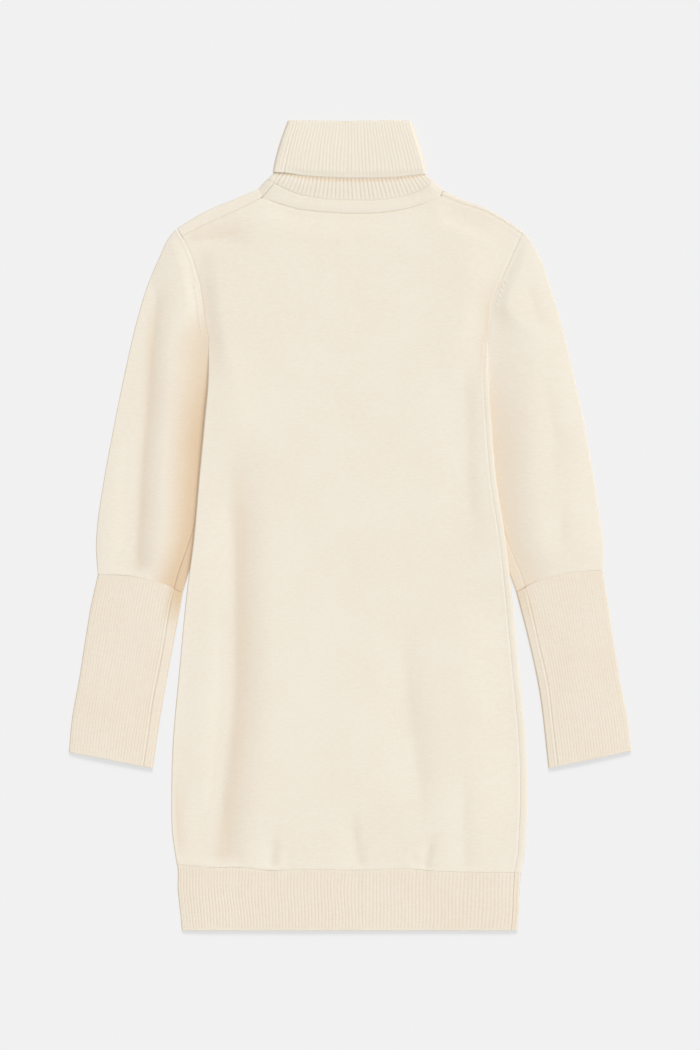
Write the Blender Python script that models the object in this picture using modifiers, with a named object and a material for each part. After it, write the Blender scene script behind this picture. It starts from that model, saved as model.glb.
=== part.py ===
# A roll-neck sweater dress in fine knit, laid flat on its back with both sleeves down beside the
# body. Every piece is cloth: a sheet laid out as a grid of points, then given its wall thickness.
# X runs across the dress, Y from hem to collar and Z up from the table. The origin is on the
# table, in the middle of the dress. Left and right are as seen from above.

import bmesh
import bpy
import numpy as np

# Walls and clearances, in metres
PLAIN_WALL = 0.0016
RIB_WALL = 0.0020
SEAM_GAP = 0.0004
ARMHOLE_GAP = 0.0008
SEAM_SHARE = 0.0010  # the gap at a side seam, as a share of the body's width
CLOSING_SHARE = 0.0015  # half the gap along a tube's closing seam, as a share of its width

# Heights of the middle of each wall above the table
PLAIN_BACK = PLAIN_WALL / 2
PLAIN_TURN = 0.00105  # radius where plain cloth turns at a side edge
RIB_BACK = RIB_WALL / 2
RIB_TURN = 0.00125
SIDE_LIFT = 0.0041  # how far the body's edge is raised where it lies on a sleeve
BODY_PUFF = 0.0016
SLEEVE_PUFF = 0.0022
RIB_PUFF = 0.0006
DEEPEST_SINK = -0.0001  # how far a fold may press the face below its flat height

# How the heights change across the cloth, each as a pair of places between which they change
LIFT_BELOW_ARMPIT = (0.001, 0.016)
LIFT_ABOVE_CUFF = (-0.112, -0.070)  # heights along the dress
LIFT_INSET = (0.013, 0.045)
SLEEVE_FALL = (0.012, 0.042)  # from the sleeve's inner edge
OUTER_ROUND = 0.008  # how quickly a sleeve fills out from its outer edge
NECK_CLIMB_Y = (0.388, 0.412)
NECK_CLIMB_X = (0.109, 0.093)

# Main heights along the dress
HEM_Y = -0.48125
ARMPIT_Y = 0.219
COLLAR_TOP_Y = 0.48125

TURN_STEPS = 4  # facets round a side edge
WRAP_COLUMNS = TURN_STEPS + 1  # columns that carry a panel round a side edge

# Outline of the body: height, left edge, right edge
BODY_EDGES = (
    (-0.48125, -0.2000, 0.1990),
    (-0.4600, -0.2020, 0.2010),
    (-0.4310, -0.2050, 0.2020),
    (-0.4080, -0.2050, 0.2040),
    (-0.3930, -0.2080, 0.2070),
    (-0.3650, -0.2120, 0.2090),
    (-0.3270, -0.2130, 0.2105),
    (-0.2600, -0.2110, 0.2090),
    (-0.1740, -0.2035, 0.2010),
    (-0.0840, -0.1950, 0.1925),
    (-0.0170, -0.1865, 0.1850),
    (0.0540, -0.1800, 0.1740),
    (0.1250, -0.1730, 0.1680),
    (0.1730, -0.1662, 0.1650),
    (0.2190, -0.1640, 0.1640),
)
# Line between body and hem rib: share of the width, height
HEM_SEAM = ((0.0, -0.4040), (0.5, -0.4100), (1.0, -0.4120))

# Seams and edges of the upper body, from armpit or neck outwards: x, y
LEFT_ARMHOLE = (
    (-0.1675, 0.2290),
    (-0.1697, 0.2400),
    (-0.1712, 0.2660),
    (-0.1745, 0.2845),
    (-0.1810, 0.2990),
    (-0.1870, 0.3180),
    (-0.1960, 0.3370),
)
RIGHT_ARMHOLE = (
    (0.1660, 0.2290),
    (0.1665, 0.2400),
    (0.1685, 0.2620),
    (0.1730, 0.2785),
    (0.1810, 0.2960),
    (0.1925, 0.3220),
    (0.2000, 0.3380),
)
LEFT_SHOULDER = (
    (-0.2055, 0.3535),
    (-0.1820, 0.3680),
    (-0.1620, 0.3780),
    (-0.1400, 0.3870),
    (-0.1090, 0.4000),
)
RIGHT_SHOULDER = (
    (0.1110, 0.3985),
    (0.1360, 0.3870),
    (0.1595, 0.3780),
    (0.1785, 0.3680),
    (0.2060, 0.3495),
)
# The back's shoulder flap that shows in front: share along the shoulder, width
LEFT_FLAP = ((0.0, 0.0110), (0.5, 0.0135), (1.0, 0.0105))
RIGHT_FLAP = ((0.0, 0.0065), (0.5, 0.0036), (1.0, 0.0032))
FRONT_NECK = (
    (-0.0935, 0.3870),
    (-0.0800, 0.3830),
    (-0.0660, 0.3762),
    (-0.0300, 0.3725),
    (0.0033, 0.3710),
    (0.0500, 0.3735),
    (0.0850, 0.3820),
)
BACK_NECK = ((-0.0800, 0.3870), (-0.0400, 0.3790), (0.0000, 0.3770), (0.0400, 0.3790), (0.0800, 0.3870))
NECK_SHARES = (0.23, 0.77)  # shares of the width where the shoulders end and the neck begins

# Sleeves: outer edge from cuff seam to shoulder, and inner edge from cuff seam to armpit
LEFT_OUTER = (
    (-0.3000, -0.0590),
    (-0.3022, -0.0290),
    (-0.3000, 0.0065),
    (-0.2930, 0.0540),
    (-0.2830, 0.1080),
    (-0.2670, 0.1870),
    (-0.2535, 0.2445),
    (-0.2420, 0.2830),
    (-0.2260, 0.3210),
    (-0.2170, 0.3400),
    (-0.2085, 0.3510),
)
RIGHT_OUTER = (
    (0.3000, -0.0530),
    (0.3012, -0.0290),
    (0.2975, 0.0065),
    (0.2900, 0.0540),
    (0.2810, 0.1080),
    (0.2640, 0.1870),
    (0.2500, 0.2445),
    (0.2380, 0.2830),
    (0.2250, 0.3210),
    (0.2145, 0.3390),
    (0.2085, 0.3475),
)
LEFT_INNER = (
    (-0.1990, -0.0800),
    (-0.1945, -0.0650),
    (-0.1870, -0.0400),
    (-0.1790, 0.0000),
    (-0.1720, 0.0540),
    (-0.1650, 0.1250),
    (-0.1605, 0.1600),
    (-0.1625, 0.1800),
    (-0.1668, 0.1970),
    (-0.1650, 0.2190),
)
RIGHT_INNER = (
    (0.1975, -0.0790),
    (0.1925, -0.0650),
    (0.1830, -0.0400),
    (0.1740, 0.0000),
    (0.1660, 0.0540),
    (0.1600, 0.1250),
    (0.1585, 0.1600),
    (0.1615, 0.1800),
    (0.1662, 0.1970),
    (0.1650, 0.2190),
)
ARMPIT_SHARE = 0.655  # share of the outer edge that lies beside the armpit
CUFF_BOW = 0.0072  # how far the cuff seam bows up from a straight line
# Cuffs, from open end to cuff seam
LEFT_CUFF_OUTER = (
    (-0.3345, -0.2695),
    (-0.3310, -0.2315),
    (-0.3225, -0.1840),
    (-0.3150, -0.1360),
    (-0.3070, -0.0890),
    (-0.3000, -0.0590),
)
RIGHT_CUFF_OUTER = (
    (0.3345, -0.2680),
    (0.3300, -0.2315),
    (0.3210, -0.1840),
    (0.3130, -0.1360),
    (0.3060, -0.0890),
    (0.3000, -0.0530),
)
LEFT_CUFF_INNER = ((-0.2350, -0.2886), (-0.2240, -0.2155), (-0.2140, -0.1600), (-0.1990, -0.0800))
RIGHT_CUFF_INNER = ((0.2360, -0.2886), (0.2235, -0.1880), (0.2120, -0.1350), (0.1975, -0.0790))
SLEEVE_SEAM = 0.905  # share of a sleeve's width at its closing seam
ARMPIT_SEAM = 0.985  # the same share where the seam runs out at the armpit
SEAM_BENDS_AT = 0.86  # share of the way from cuff to armpit
CUFF_SIDE_COLUMN = 0.88  # the sleeve's last column on the cuff's side of that seam
BEYOND_SEAM = 0.0060  # from the seam to the next column, as a share of the width
LEFT_TIP = (-0.2030, 0.3480)  # where each armhole ends, at the shoulder
RIGHT_TIP = (0.2035, 0.3445)

# Neck band and collar
LEFT_BAND_END = (-0.0985, 0.4115)
RIGHT_BAND_END = (0.0985, 0.4095)
FRONT_BAND_TOP = ((-0.0870, 0.4045), (-0.0640, 0.3940), (-0.0400, 0.3885), (0.0000, 0.3860),
                  (0.0480, 0.3880), (0.0760, 0.3950), (0.0900, 0.4020))
BACK_BAND_TOP = ((-0.0860, 0.4025), (-0.0400, 0.3930), (0.0000, 0.3905), (0.0400, 0.3930), (0.0860, 0.4015))
# Collar: height, left edge, right edge
COLLAR_EDGES = ((0.4000, -0.0950, 0.0935), (0.4200, -0.0920, 0.0905), (0.4540, -0.0830, 0.0810),
                (0.48125, -0.0740, 0.0730))
# Lower edge of the turn-down: share of the width, height
TURNDOWN_EDGE = ((0.0, 0.4195), (0.18, 0.4160), (0.5, 0.4130), (0.8, 0.4140), (1.0, 0.4170))
BEHIND_EDGE = 0.0005  # how far below that edge the hidden layer takes the collar's own outline
COLLAR_LAYER = 0.0025  # from the middle of one collar layer to the next
COLLAR_LEVEL = RIB_WALL / 2 + 1.5 * COLLAR_LAYER
COLLAR_SEAM = 0.06  # share of the collar's width at its closing seam

# Columns: shares of the width. The body's are close together where it rises over the sleeves.
BODY_COLUMNS = (0.0, 0.035, 0.07, 0.105, 0.14, 0.18, 0.23, 0.30, 0.40, 0.50,
                0.60, 0.70, 0.77, 0.84, 0.88, 0.92, 0.96, 1.0)
SLEEVE_FRONT = (0.0, 0.07, 0.16, 0.25, 0.34, 0.46, 0.60, 0.76, 0.88, 0.93, 1.0)
SLEEVE_BACK = (0.0, 0.16, 0.46, 0.76, 1.0)
CUFF_COLUMNS = (0.0, 0.12, 0.30, 0.50, 0.70, 0.88, 1.0)
COLLAR_FRONT = (0.0, 0.12, 0.24, 0.36, 0.50, 0.64, 0.76, 0.88, 1.0)
COLLAR_BACK = (0.0, 0.12, 0.30, 0.50, 0.70, 0.88, 1.0)
# Rows: shares of the height, hem to armpit and then armpit to shoulder
BODY_ROWS = (0.0, 0.08, 0.17, 0.27, 0.37, 0.465, 0.505, 0.54, 0.61, 0.70, 0.79,
             0.87, 0.93, 0.975, 1.0, 1.08, 1.24, 1.42, 1.60, 1.78, 1.90, 2.0)
SLEEVE_ROWS = (0.0, 0.06, 0.15, 0.27, 0.41, 0.55, 0.68, 0.80, 0.91, 1.0,
               1.08, 1.24, 1.42, 1.60, 1.78, 1.90, 2.0)

# Main folds in the plain cloth, each a soft trough: depth, half-width, then its course (x, y)
BODY_FOLDS = (
    (0.0016, 0.0150, (-0.1360, 0.1300), (-0.1400, 0.0000), (-0.1390, -0.1600), (-0.1400, -0.2600),
     (-0.1520, -0.3950)),
    (0.0012, 0.0220, (0.1330, 0.2200), (0.1420, 0.0800), (0.1500, -0.0300)),
    (0.0010, 0.0120, (0.0950, -0.3250), (0.0960, -0.3700), (0.0880, -0.4080)),
    (0.0009, 0.0130, (-0.1880, 0.3390), (-0.1500, 0.3450), (-0.1200, 0.3470)),
)
LEFT_SLEEVE_FOLDS = (
    (0.0020, 0.0090, (-0.2140, 0.3100), (-0.2416, 0.2210), (-0.2487, 0.1430), (-0.2475, 0.0840),
     (-0.2535, 0.0240), (-0.2606, -0.0550)),
)
RIGHT_SLEEVE_FOLDS = (
    (0.0012, 0.0100, (0.2160, 0.2900), (0.2320, 0.2350), (0.2450, 0.1700)),
)

PLAIN_COLOUR = (0.86, 0.78, 0.66, 1.0)
RIB_COLOUR = (0.83, 0.74, 0.61, 1.0)


def soft_step(low, high, value):
    part = np.clip((value - low) / (high - low), 0.0, 1.0)
    return part * part * (3.0 - 2.0 * part)


def spline(knots, values, at):
    # A smooth line through the values at the knots
    knots = np.asarray(knots, float)
    values = np.asarray(values, float)
    at = np.asarray(at, float)
    slopes = np.gradient(values, knots, axis=0)
    index = np.clip(np.searchsorted(knots, at, side="right") - 1, 0, len(knots) - 2)
    width = knots[index + 1] - knots[index]
    part = np.clip((at - knots[index]) / width, 0.0, 1.0)
    if values.ndim == 2:
        width = width[..., None]
        part = part[..., None]
    square = part * part
    cube = square * part
    return (
        (2.0 * cube - 3.0 * square + 1.0) * values[index]
        + (cube - 2.0 * square + part) * width * slopes[index]
        + (3.0 * square - 2.0 * cube) * values[index + 1]
        + (cube - square) * width * slopes[index + 1]
    )


def curve(points, share):
    # A smooth curve through the points, at a share of its length
    points = np.asarray(points, float)
    lengths = np.linalg.norm(np.diff(points, axis=0), axis=1)
    knots = np.concatenate(([0.0], np.cumsum(lengths)))
    return spline(knots, points, np.asarray(share, float) * knots[-1])


def moved(points, distance):
    # The same course, moved to the left of its own direction
    points = np.asarray(points, float)
    along = np.gradient(points, axis=0)
    along /= np.linalg.norm(along, axis=1)[:, None]
    return points + distance * np.stack([-along[:, 1], along[:, 0]], axis=1)


def heading(line, share):
    # The direction in which a line runs at a share of it
    ahead = line(np.clip(share + 0.01, 0.0, 1.0)) - line(np.clip(share - 0.01, 0.0, 1.0))
    return ahead / np.linalg.norm(ahead, axis=-1)[..., None]


def column_of(table, column):
    return [row[column] for row in table]


def at_height(table, column, height):
    return spline(column_of(table, 0), column_of(table, column), height)


def trough(folds, x, y):
    # How far the folds press the cloth down at x, y
    total = np.zeros(np.shape(x))
    for depth, half_width, *course in folds:
        path = curve(course, np.linspace(0.0, 1.0, 25))
        nearest = np.full(np.shape(x), np.inf)
        along = np.zeros(np.shape(x))
        for step, (start, end) in enumerate(zip(path[:-1], path[1:])):
            run = end - start
            part = ((x - start[0]) * run[0] + (y - start[1]) * run[1]) / (run @ run)
            part = np.clip(part, 0.0, 1.0)
            away = np.hypot(x - start[0] - part * run[0], y - start[1] - part * run[1])
            along = np.where(away < nearest, (step + part) / (len(path) - 1), along)
            nearest = np.minimum(nearest, away)
        ends = soft_step(0.0, 0.25, along) * soft_step(1.0, 0.8, along)
        total += depth * ends * np.exp(-((nearest / half_width) ** 2))
    return total


def body_side(height, column, wall, turn):
    inward = (wall / 2 + turn) * (1 if column == 1 else -1)
    return at_height(BODY_EDGES, column, height) + inward


def lower_body(across, up):
    low = spline(column_of(HEM_SEAM, 0), column_of(HEM_SEAM, 1), across) + SEAM_GAP / 2
    y = low + (ARMPIT_Y - low) * up
    left = body_side(y, 1, PLAIN_WALL, PLAIN_TURN)
    right = body_side(y, 2, PLAIN_WALL, PLAIN_TURN)
    return np.stack([left + (right - left) * across, y], axis=-1)


def shoulder_seam(shoulder, flap, share):
    # The seam in front, down from the shoulder's edge by the flap's width
    ahead = heading(lambda part: curve(shoulder, part), share)
    down = np.stack([ahead[..., 1], -ahead[..., 0]], axis=-1)
    width = spline(column_of(flap, 0), column_of(flap, 1), share)
    return curve(shoulder, share) + down * width[..., None], down


def armhole(side, last):
    table = LEFT_ARMHOLE if side < 0 else RIGHT_ARMHOLE
    first = lower_body(np.array(0.0 if side < 0 else 1.0), np.array(1.0))
    return np.vstack([first, table, last])


def upper_body(across, up, left_top, neck, right_top, left_armhole, right_armhole):
    # A patch between the armpit line, the two armholes and the line of shoulders and neck
    first, second = NECK_SHARES
    top = np.where(
        (across < first)[..., None],
        left_top(np.clip(across / first, 0.0, 1.0)),
        np.where(
            (across > second)[..., None],
            right_top(np.clip((across - second) / (1.0 - second), 0.0, 1.0)),
            curve(neck, np.clip((across - first) / (second - first), 0.0, 1.0)),
        ),
    )
    bottom = lower_body(across, np.ones(np.shape(across)))
    left = curve(left_armhole, up)
    right = curve(right_armhole, up)
    across = across[..., None]
    up = up[..., None]
    corners = (
        (1 - across) * (1 - up) * left_armhole[0]
        + across * (1 - up) * right_armhole[0]
        + (1 - across) * up * left_armhole[-1]
        + across * up * right_armhole[-1]
    )
    return (1 - up) * bottom + up * top + (1 - across) * left + across * right - corners


def front_xy(across, up):
    def left_top(share):
        seam, down = shoulder_seam(LEFT_SHOULDER, LEFT_FLAP, share)
        return seam + down * SEAM_GAP

    def right_top(share):
        seam, down = shoulder_seam(RIGHT_SHOULDER, RIGHT_FLAP, share)
        return seam + down * SEAM_GAP

    neck = np.vstack([left_top(np.array(1.0)), FRONT_NECK, right_top(np.array(0.0))])
    upper = upper_body(
        across, np.clip(up - 1.0, 0.0, 1.0), left_top, neck, right_top,
        armhole(-1, left_top(np.array(0.0))), armhole(1, right_top(np.array(1.0))),
    )
    return np.where((up > 1.0)[..., None], upper, lower_body(across, np.clip(up, 0.0, 1.0)))


def back_xy(across, up):
    inward = PLAIN_WALL / 2 + PLAIN_TURN
    left = moved(LEFT_SHOULDER, -inward)
    right = moved(RIGHT_SHOULDER, -inward)
    neck = np.vstack([left[-1], BACK_NECK, right[0]])
    upper = upper_body(
        across, np.clip(up - 1.0, 0.0, 1.0),
        lambda share: curve(left, share), neck, lambda share: curve(right, share),
        armhole(-1, left[0]), armhole(1, right[-1]),
    )
    return np.where((up > 1.0)[..., None], upper, lower_body(across, np.clip(up, 0.0, 1.0)))


def body_lift(inset, y):
    # The body's edges lie on the sleeves from just below the armpits to the cuffs
    near, full = LIFT_BELOW_ARMPIT
    along = soft_step(ARMPIT_Y - near, ARMPIT_Y - full, y) * soft_step(*LIFT_ABOVE_CUFF, y)
    return SIDE_LIFT * along * (1.0 - soft_step(*LIFT_INSET, inset))


def body_heights(across, up, xy):
    x, y = xy[..., 0], xy[..., 1]
    width = at_height(BODY_EDGES, 2, y) - at_height(BODY_EDGES, 1, y)
    inset = np.minimum(across, 1.0 - across) * width
    lift = body_lift(inset, y)
    seams = soft_step(0.0, 0.04, inset) * soft_step(2.0, 1.8, up) * soft_step(0.0, 0.08, up)
    puff = BODY_PUFF * seams * (1.0 + 0.25 * np.sin(38.0 * x + 9.0 * y))
    back = PLAIN_BACK + lift
    return back, back + 2 * PLAIN_TURN + np.maximum(puff - trough(BODY_FOLDS, x, y), DEEPEST_SINK)


def round_tube(xy, angle, back, front, outward):
    # Puts grid points on a flat tube: angle 0 on the face, pi underneath, turning at the edges
    half = (front - back) / 2
    z = back + half * (1.0 + np.cos(angle))
    out = (half * np.sin(angle))[..., None] * outward
    return np.concatenate([xy + out, z[..., None]], axis=-1)


def turn(start):
    return [(start + np.pi * step / TURN_STEPS) for step in range(1, TURN_STEPS)]


def grid(columns, rows):
    across = np.array([share for share, _ in columns])
    angle = np.array([angle for _, angle in columns])
    across, up = np.meshgrid(across, np.array(rows, float))
    return across, np.broadcast_to(angle, across.shape), up


def right_flap(up):
    # How far the back comes round onto the face at the right edge, as a share of the width
    return 0.0060 + 0.0090 * soft_step(1.0, 0.93, up)


def left_wrap(up):
    # How far the front goes round underneath at the left edge
    return 0.0035 + 0.0100 * soft_step(1.0, 0.9, up)


def front_panel():
    columns = [(0.0, np.pi), (0.0, np.pi)] + [(0.0, angle) for angle in turn(np.pi)]
    columns += [(share, 2 * np.pi) for share in BODY_COLUMNS]
    across, angle, up = grid(columns, BODY_ROWS)
    across = across.copy()
    above = up[:, 0] > 1.0
    across[:, 0] = left_wrap(up[:, 0])
    across[:, -1] = np.where(above, 1.0, 1.0 - right_flap(up[:, 0]) - SEAM_SHARE)
    xy = front_xy(across, up)
    back, front = body_heights(across, up, xy)
    points = round_tube(xy, angle, back, front, np.array([1.0, 0.0]))
    points[above, :WRAP_COLUMNS] = np.nan
    return sheet("front_panel", points, PLAIN_WALL, PLAIN)


def back_panel():
    columns = [(1.0, 0.0), (1.0, 0.0)] + [(1.0, angle) for angle in turn(0.0)]
    columns += [(share, np.pi) for share in reversed(BODY_COLUMNS)]
    across, angle, up = grid(columns, BODY_ROWS)
    across = across.copy()
    across[:, 0] = 1.0 - right_flap(up[:, 0])
    above = up[:, 0] > 1.0
    across[:, -1] = np.where(above, 0.0, left_wrap(up[:, 0]) + SEAM_SHARE)
    xy = back_xy(across, up)
    back, front = body_heights(across, up, xy)
    flat_front = PLAIN_BACK + 2 * PLAIN_TURN + body_lift(np.zeros(back.shape), xy[..., 1])
    front = np.where(across > 0.5, flat_front, front)
    points = round_tube(xy, angle, back, front, np.array([1.0, 0.0]))
    points[above, :WRAP_COLUMNS] = np.nan
    return sheet("back_panel", np.concatenate([points, shoulder_rows(across[-1])]), PLAIN_WALL, PLAIN)


def shoulder_rows(across):
    # The back turns over each shoulder and comes down in front as far as the seam
    rows = []
    first, second = NECK_SHARES
    for angle in [*turn(np.pi), 2 * np.pi, None]:
        row = np.full((len(across), 3), np.nan)
        for index in range(WRAP_COLUMNS, len(across)):
            share = across[index]
            if first < share < second:
                continue
            left = share <= first
            shoulder, flap = (LEFT_SHOULDER, LEFT_FLAP) if left else (RIGHT_SHOULDER, RIGHT_FLAP)
            along = share / first if left else (share - second) / (1.0 - second)
            seam, down = shoulder_seam(shoulder, flap, np.array(along))
            inner = curve(moved(shoulder, -(PLAIN_WALL / 2 + PLAIN_TURN)), along)
            if angle is None:
                row[index] = (*seam, PLAIN_BACK + 2 * PLAIN_TURN)
            else:
                turned = inner + down * PLAIN_TURN * np.sin(angle)
                row[index] = (*turned, PLAIN_BACK + PLAIN_TURN * (1.0 + np.cos(angle)))
        rows.append(row)
    return np.array(rows)


def hem_rib(name, columns, outer):
    rows = (0.0, 0.5, 1.0)
    across, angle, up = grid(columns, rows)
    high = spline(column_of(HEM_SEAM, 0), column_of(HEM_SEAM, 1), across) - SEAM_GAP / 2
    y = HEM_Y + (high - HEM_Y) * up
    left = body_side(y, 1, RIB_WALL, RIB_TURN)
    right = body_side(y, 2, RIB_WALL, RIB_TURN)
    xy = np.stack([left + (right - left) * across, y], axis=-1)
    back = np.full(y.shape, RIB_BACK)
    puff = RIB_PUFF * soft_step(0.0, 0.08, np.minimum(across, 1.0 - across))
    front = back + 2 * RIB_TURN + puff * outer
    return sheet(name, round_tube(xy, angle, back, front, np.array([1.0, 0.0])), RIB_WALL, RIB)


def front_hem_rib():
    columns = [(0.0140, np.pi), (0.0, np.pi)] + [(0.0, angle) for angle in turn(np.pi)]
    columns += [(share, 2 * np.pi) for share in (*BODY_COLUMNS[:-1:2], 0.984)]
    return hem_rib("front_hem_rib", columns, 1.0)


def back_hem_rib():
    columns = [(0.985, 0.0), (1.0, 0.0)] + [(1.0, angle) for angle in turn(0.0)]
    columns += [(share, np.pi) for share in (1.0, 0.88, 0.70, 0.50, 0.30, 0.14, 0.0150)]
    return hem_rib("back_hem_rib", columns, 0.0)


def round_columns(front, back, seam):
    # Columns once round a flat tube, from its closing seam on the face and back to it
    columns = [(seam, 0.0)] + [(share, 0.0) for share in front if share > seam]
    columns += [(1.0, angle) for angle in turn(0.0)]
    columns += [(share, np.pi) for share in reversed(back)]
    columns += [(0.0, angle) for angle in turn(np.pi)]
    columns += [(share, 2 * np.pi) for share in front if share < seam] + [(seam, 2 * np.pi)]
    return columns


def ruled(outer, inner, across):
    xy = outer + (inner - outer) * across[..., None]
    direction = inner - outer
    width = np.linalg.norm(direction, axis=-1)
    return xy, direction / width[..., None], width


def sleeve(name, side, outer_table, inner_table, folds):
    columns = round_columns(SLEEVE_FRONT, SLEEVE_BACK, SLEEVE_SEAM)
    across, angle, up = grid(columns, SLEEVE_ROWS)
    across = across.copy()
    above = up[:, 0] > 1.0
    beyond = sum(1 for share, at in columns if at < np.pi)
    seam = SLEEVE_SEAM + (ARMPIT_SEAM - SLEEVE_SEAM) * soft_step(SEAM_BENDS_AT, 1.0, up[:, 0])
    across[:, 0] = seam + CLOSING_SHARE
    across[:, 1] = np.maximum(across[:, 1], seam + BEYOND_SEAM)
    across[:, -1] = np.where(above, 1.0, seam - CLOSING_SHARE)
    across[:, -2] = np.minimum(across[:, -2], CUFF_SIDE_COLUMN)

    inward = PLAIN_WALL / 2 + PLAIN_TURN
    outer_edge = moved(outer_table, side * inward)
    inner_edge = moved(inner_table, -side * inward)
    table = LEFT_ARMHOLE if side < 0 else RIGHT_ARMHOLE
    tip = LEFT_TIP if side < 0 else RIGHT_TIP
    hole = np.vstack([inner_edge[-1], moved((*table, tip), -side * ARMHOLE_GAP)])
    lower = np.clip(up, 0.0, 1.0)
    higher = np.clip(up - 1.0, 0.0, 1.0)
    outer = curve(outer_edge, lower * ARMPIT_SHARE + higher * (1.0 - ARMPIT_SHARE))
    inner = np.where(above[:, None, None], curve(hole, higher), curve(inner_edge, lower))
    xy, direction, width = ruled(outer, inner, across)
    xy[..., 1] += CUFF_BOW * np.sin(np.pi * across) * soft_step(0.25, 0.0, up) + SEAM_GAP * (up == 0.0)

    puff = SLEEVE_PUFF * (1.0 - np.exp(-across * width / OUTER_ROUND))
    puff = puff * soft_step(*SLEEVE_FALL, (1.0 - across) * width) * soft_step(0.0, 0.10, up)
    puff = np.maximum(puff - trough(folds, xy[..., 0], xy[..., 1]), DEEPEST_SINK)
    back = np.full(across.shape, PLAIN_BACK)
    points = round_tube(xy, angle, back, back + 2 * PLAIN_TURN + puff, direction)
    points[above, :beyond] = np.nan
    return sheet(name, points, PLAIN_WALL, PLAIN)


def cuff(name, side, outer_table, inner_table):
    columns = round_columns(CUFF_COLUMNS, CUFF_COLUMNS[::2], SLEEVE_SEAM)
    across, angle, up = grid(columns, (0.0, 0.2, 0.4, 0.6, 0.8, 1.0))
    across = across.copy()
    across[:, 0] += CLOSING_SHARE
    across[:, -1] -= CLOSING_SHARE
    inward = RIB_WALL / 2 + RIB_TURN
    outer = curve(moved(outer_table, side * inward), up)
    inner = curve(moved(inner_table, -side * inward), up)
    xy, direction, _ = ruled(outer, inner, across)
    xy[..., 1] += CUFF_BOW * np.sin(np.pi * across) * soft_step(0.5, 1.0, up)
    back = np.full(across.shape, RIB_BACK)
    puff = RIB_PUFF * np.sin(np.pi * across)
    points = round_tube(xy, angle, back, back + 2 * RIB_TURN + puff, direction)
    return sheet(name, points, RIB_WALL, RIB)


def neck_rise(x, y):
    # The neck climbs onto the collar's hidden turn-down
    climb = soft_step(*NECK_CLIMB_Y, y) * soft_step(*NECK_CLIMB_X, np.abs(x))
    return (COLLAR_LEVEL - RIB_BACK - RIB_TURN) * climb


def between(left, middle, right, share, clear):
    # A line across the neck, drawn in at both ends by the cloth's turn
    points = np.vstack([left, middle, right])
    length = np.linalg.norm(np.diff(points, axis=0), axis=1).sum()
    return curve(points, clear / length + share * (1.0 - 2.0 * clear / length))


def neck_line(front, share, clear):
    # In front, the band's lower corners are the corners of the front panel's own neck edge
    if not front:
        line = between(LEFT_SHOULDER[-1], BACK_NECK, RIGHT_SHOULDER[0], share, clear)
        return line + np.array([0.0, 2 * SEAM_GAP])
    first, second = NECK_SHARES
    across = np.array([column for column in BODY_COLUMNS if first <= column <= second])
    ends = between(LEFT_SHOULDER[-1], BACK_NECK, RIGHT_SHOULDER[0], np.array([0.0, 1.0]), clear)
    corners = np.vstack([ends[0], front_xy(across, np.full(across.shape, 2.0)), ends[1]])
    x = np.interp(share, COLLAR_FRONT, corners[:, 0])
    y = np.interp(share, COLLAR_FRONT, corners[:, 1])
    return np.stack([x, y + SEAM_GAP], axis=-1)


def band_line(front, share, clear):
    middle = FRONT_BAND_TOP if front else BACK_BAND_TOP
    return between(LEFT_BAND_END, middle, RIGHT_BAND_END, share, clear)


def neck_band():
    columns = round_columns(COLLAR_FRONT, COLLAR_BACK, COLLAR_SEAM)
    across = np.array([share for share, _ in columns])
    across[0] += CLOSING_SHARE
    across[-1] -= CLOSING_SHARE
    angle = np.array([angle for _, angle in columns])
    face = ((1.0 + np.cos(angle)) / 2)[:, None]
    clear = PLAIN_WALL / 2 + PLAIN_TURN
    rows = []
    for up in (0.0, 0.5, 1.0):

        def line(front, share):
            low = neck_line(front, share, clear)
            high = band_line(front, share, clear) - np.array([0.0, SEAM_GAP])
            return low + (high - low) * up

        xy = face * line(True, across) + (1.0 - face) * line(False, across)
        direction = heading(lambda share: line(True, share), across)
        back = PLAIN_BACK + neck_rise(xy[:, 0], xy[:, 1])
        rows.append(round_tube(xy, angle, back, back + 2 * PLAIN_TURN, direction))
    return sheet("neck_band", np.array(rows), PLAIN_WALL, PLAIN)


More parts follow.
